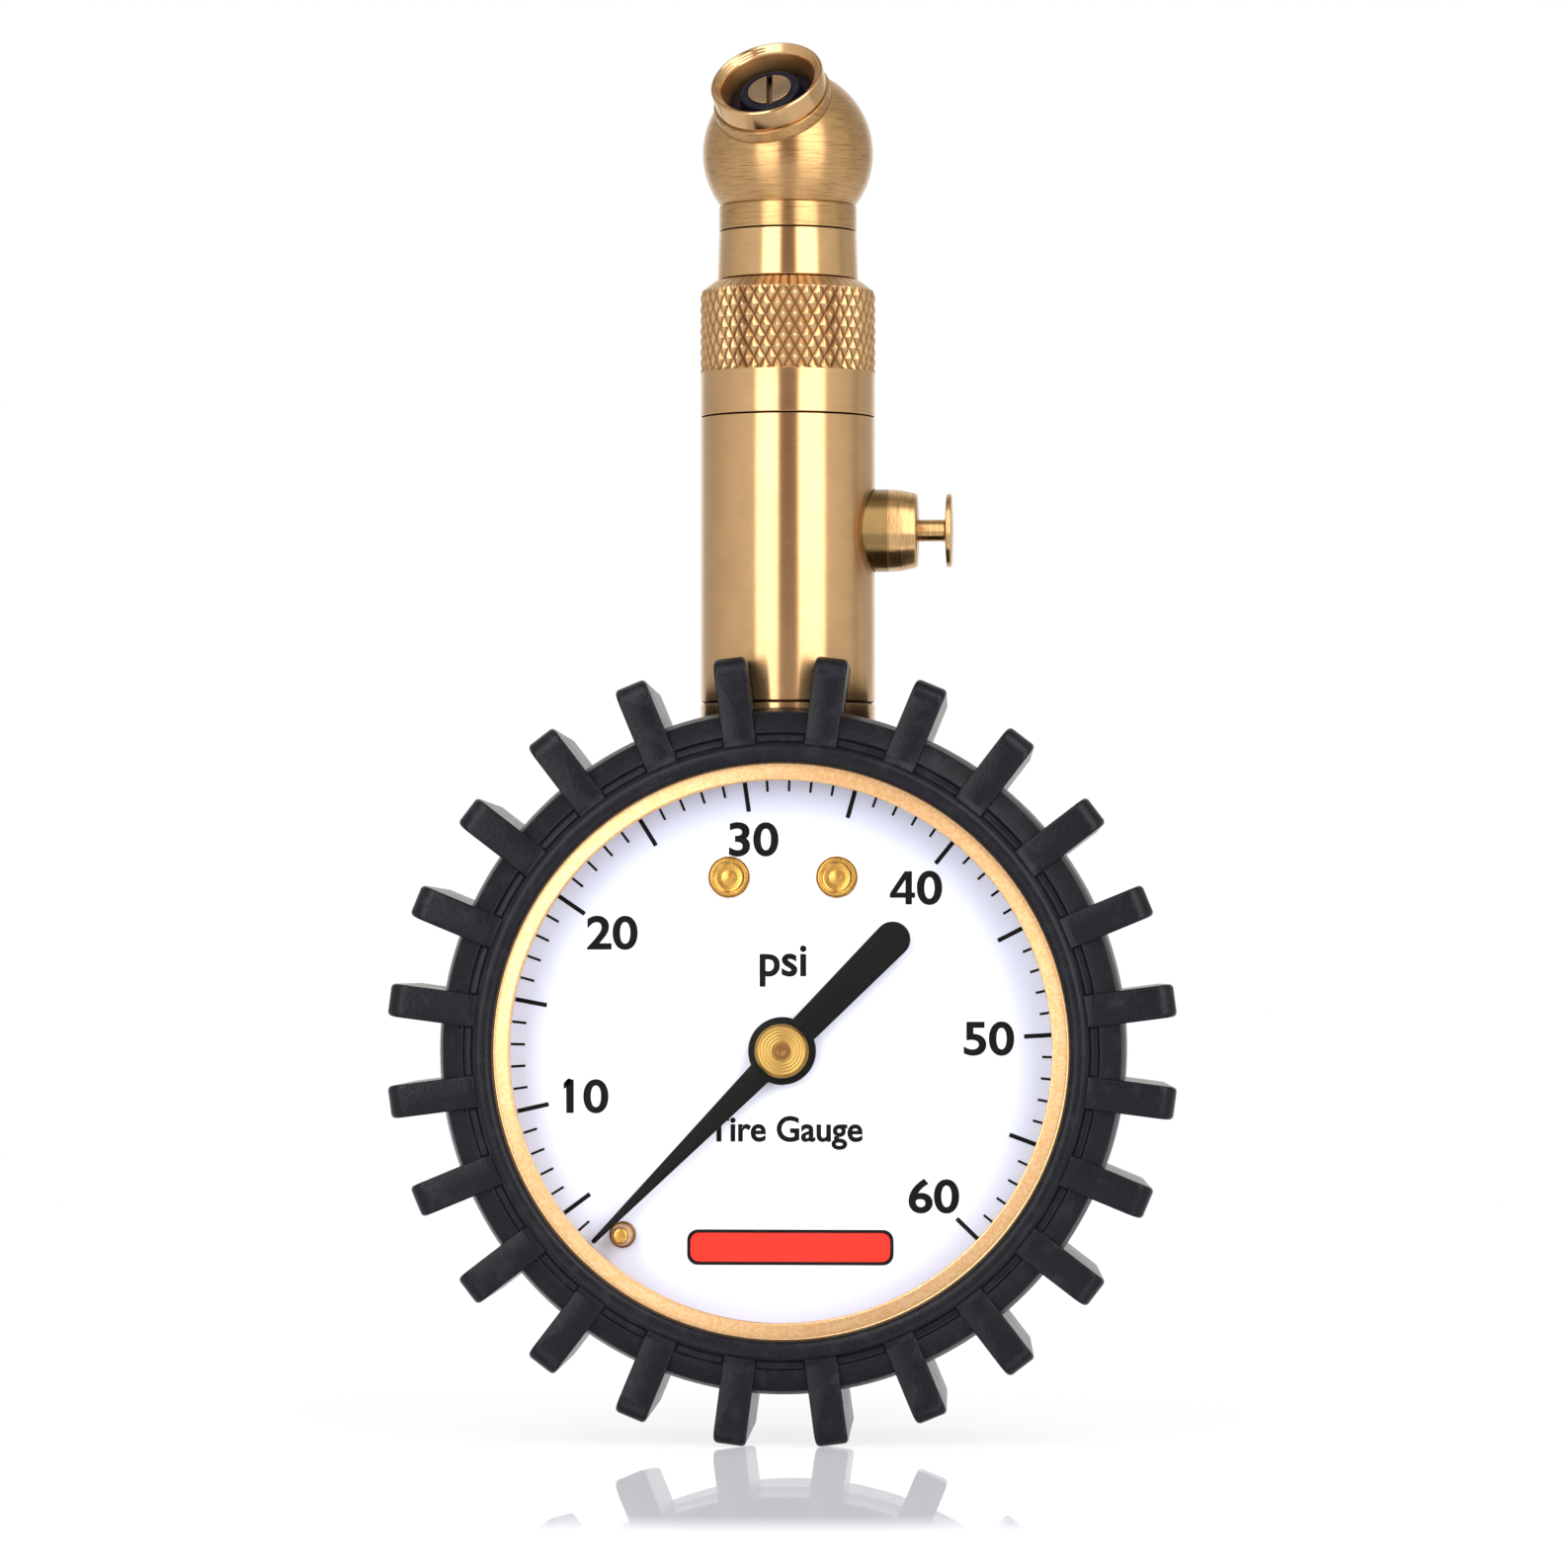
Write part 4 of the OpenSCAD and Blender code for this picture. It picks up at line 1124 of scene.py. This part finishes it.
def dress_cad_nodes():
    """Materials of the CAD nodes that no mesh piece replaces."""
    looks = {
        gold: ["case"],
        glass: ["lens"],
        seal_rubber: ["lens_gasket", "check_poppet", "bleeder_seal", "swivel_o_ring"],
        enamel: ["dial"],
        steel: ["dial_spacers", "movement_screws", "hairspring", "pointer_arbor", "sector_arbor", "link"],
        plain_brass: ["socket_block", "movement_pillars", "hairspring_stud", "tube_tip"],
        bright_brass: ["restrictor", "movement_back_plate", "movement_front_plate", "sector_gear", "link_pin",
                       "tail_pin", "check_seat"],
        copper: ["bourdon_tube", "sealing_washer"],
        nylon: ["thrust_washer"],
    }
    for look, names in looks.items():
        for name in names:
            mesh = nodes[name].data
            mesh.materials.clear()
            mesh.materials.append(look)


# ------------------------------------------------------------------ stage

view_azimuth = 3.3
view_distance = 600
view_height = 49.6
frame_width = 142.83


def studio():
    """A pale world with two tall soft lights beside the camera, and a darker gap between them."""
    world = bpy.data.worlds.new("studio")
    scene.world = world
    world.use_nodes = True
    tree = world.node_tree
    tree.nodes.clear()
    way = add(tree, "ShaderNodeTexCoord").outputs["Generated"]
    parts = add(tree, "ShaderNodeSeparateXYZ", ((0, way),)).outputs
    azimuth = calc(tree, "ARCTAN2", parts[0], calc(tree, "MULTIPLY", parts[1], -1.0))
    azimuth = calc(tree, "SUBTRACT", azimuth, deg(view_azimuth))
    height = calc(tree, "ARCSINE", parts[2])

    def between(value, start, end, soft):
        rise = ramp(tree, value, deg(start - soft), deg(start + soft))
        fall = ramp(tree, value, deg(end - soft), deg(end + soft), 1.0, 0.0)
        return calc(tree, "MULTIPLY", rise, fall)

    lamp = 4.3
    gap_level = 0.33
    side = calc(tree, "ABSOLUTE", azimuth)
    surround = ramp(tree, side, deg(45), deg(130), 1.1, 0.66)
    surround = calc(tree, "ADD", surround, ramp(tree, side, deg(140), deg(160), 0.0, 0.4))
    line = calc(tree, "MULTIPLY", between(azimuth, 95, 108, 3), 0.16)
    surround = calc(tree, "SUBTRACT", surround, line)
    tall = between(height, -40, 62, 8)
    left = calc(tree, "MULTIPLY", between(azimuth, -43, -13, 2.5), tall)
    right = calc(tree, "MULTIPLY", between(azimuth, 14, 50, 3.5), tall)
    gap = calc(tree, "MULTIPLY", between(azimuth, -13, 14, 2.5), tall)
    both = calc(tree, "ADD", left, right)
    lamps = calc(tree, "MULTIPLY_ADD", both, calc(tree, "SUBTRACT", lamp, surround), surround)
    level = calc(tree, "MULTIPLY_ADD", gap, calc(tree, "SUBTRACT", gap_level, surround), lamps)
    level = calc(tree, "MULTIPLY", level, ramp(tree, height, deg(42), deg(80), 1.0, 0.5))
    rays = add(tree, "ShaderNodeLightPath").outputs
    level = calc(tree, "MULTIPLY", level, calc(tree, "MULTIPLY_ADD", rays["Is Diffuse Ray"], 0.28, 1.0))
    tint = blend_colours(tree, gap, (1.0, 0.985, 0.955, 1), (1.0, 0.74, 0.68, 1))
    lit = add(tree, "ShaderNodeBackground", (("Strength", level), ("Color", tint)))
    seen = add(tree, "ShaderNodeBackground", (("Strength", 1.0), ("Color", (1, 1, 1, 1))))
    shown = mix_shaders(tree, rays["Is Camera Ray"], lit, seen)
    add(tree, "ShaderNodeOutputWorld", ((0, shown.outputs[0]),))
    scene.view_settings.view_transform = "Standard"


def floor():
    """A white table top that mirrors what stands on it, but only close around it."""
    made, tree = bare_material("floor")
    matte = add(tree, "ShaderNodeBsdfDiffuse", ((0, (0.3, 0.302, 0.32, 1)),))
    glow = add(tree, "ShaderNodeEmission", ((0, (0.93, 0.935, 1, 1)), (1, 0.7)))
    body = add(tree, "ShaderNodeAddShader", ((0, matte.outputs[0]), (1, glow.outputs[0])))
    gloss = add(tree, "ShaderNodeBsdfGlossy", ((0, (1, 1, 1, 1)), ("Roughness", 0.012)))
    away = add(tree, "ShaderNodeVectorMath", ((0, millimetres(tree)),), operation="LENGTH").outputs["Value"]
    mirror = ramp(tree, away, 74, 94, 0.47, 0.0)
    both = mix_shaders(tree, mirror, body, gloss)
    add(tree, "ShaderNodeOutputMaterial", ((0, both.outputs[0]),))
    bm = bmesh.new()
    floor_r = 450
    bmesh.ops.create_circle(bm, cap_ends=True, segments=96, radius=floor_r)
    top = as_object("floor", bm, Matrix.Translation((0, 0, -0.02)))
    top.data.materials.append(made)


def camera():
    """A long lens in front of the gauge, a little to its right."""
    sensor = 36
    data = bpy.data.cameras.new("camera")
    data.sensor_width = sensor
    data.lens = sensor * view_distance / frame_width
    data.shift_x = -0.0025
    data.shift_y = 0.0690
    data.clip_start = 0.01
    made = bpy.data.objects.new("camera", data)
    a = deg(view_azimuth)
    made.location = Vector((view_distance * math.sin(a), -view_distance * math.cos(a), view_height)) * MM
    made.rotation_euler = (deg(90), 0, a)
    scene.collection.objects.link(made)
    scene.camera = made


guard()
bezel()
dial_print()
dial_screws()
stop_pin()
pointer()
pointer_cap()
stem()
gland_nut()
bleeder()
neck()
ball()
chuck_ring()
valve_parts()
case_back()
spring("bleeder_spring", 6, 0.16, Vector((1, 0, 0)))
spring("check_spring", 5, 0.17, Vector((0, 0, 1)))
dress_cad_nodes()
studio()
floor()
camera()
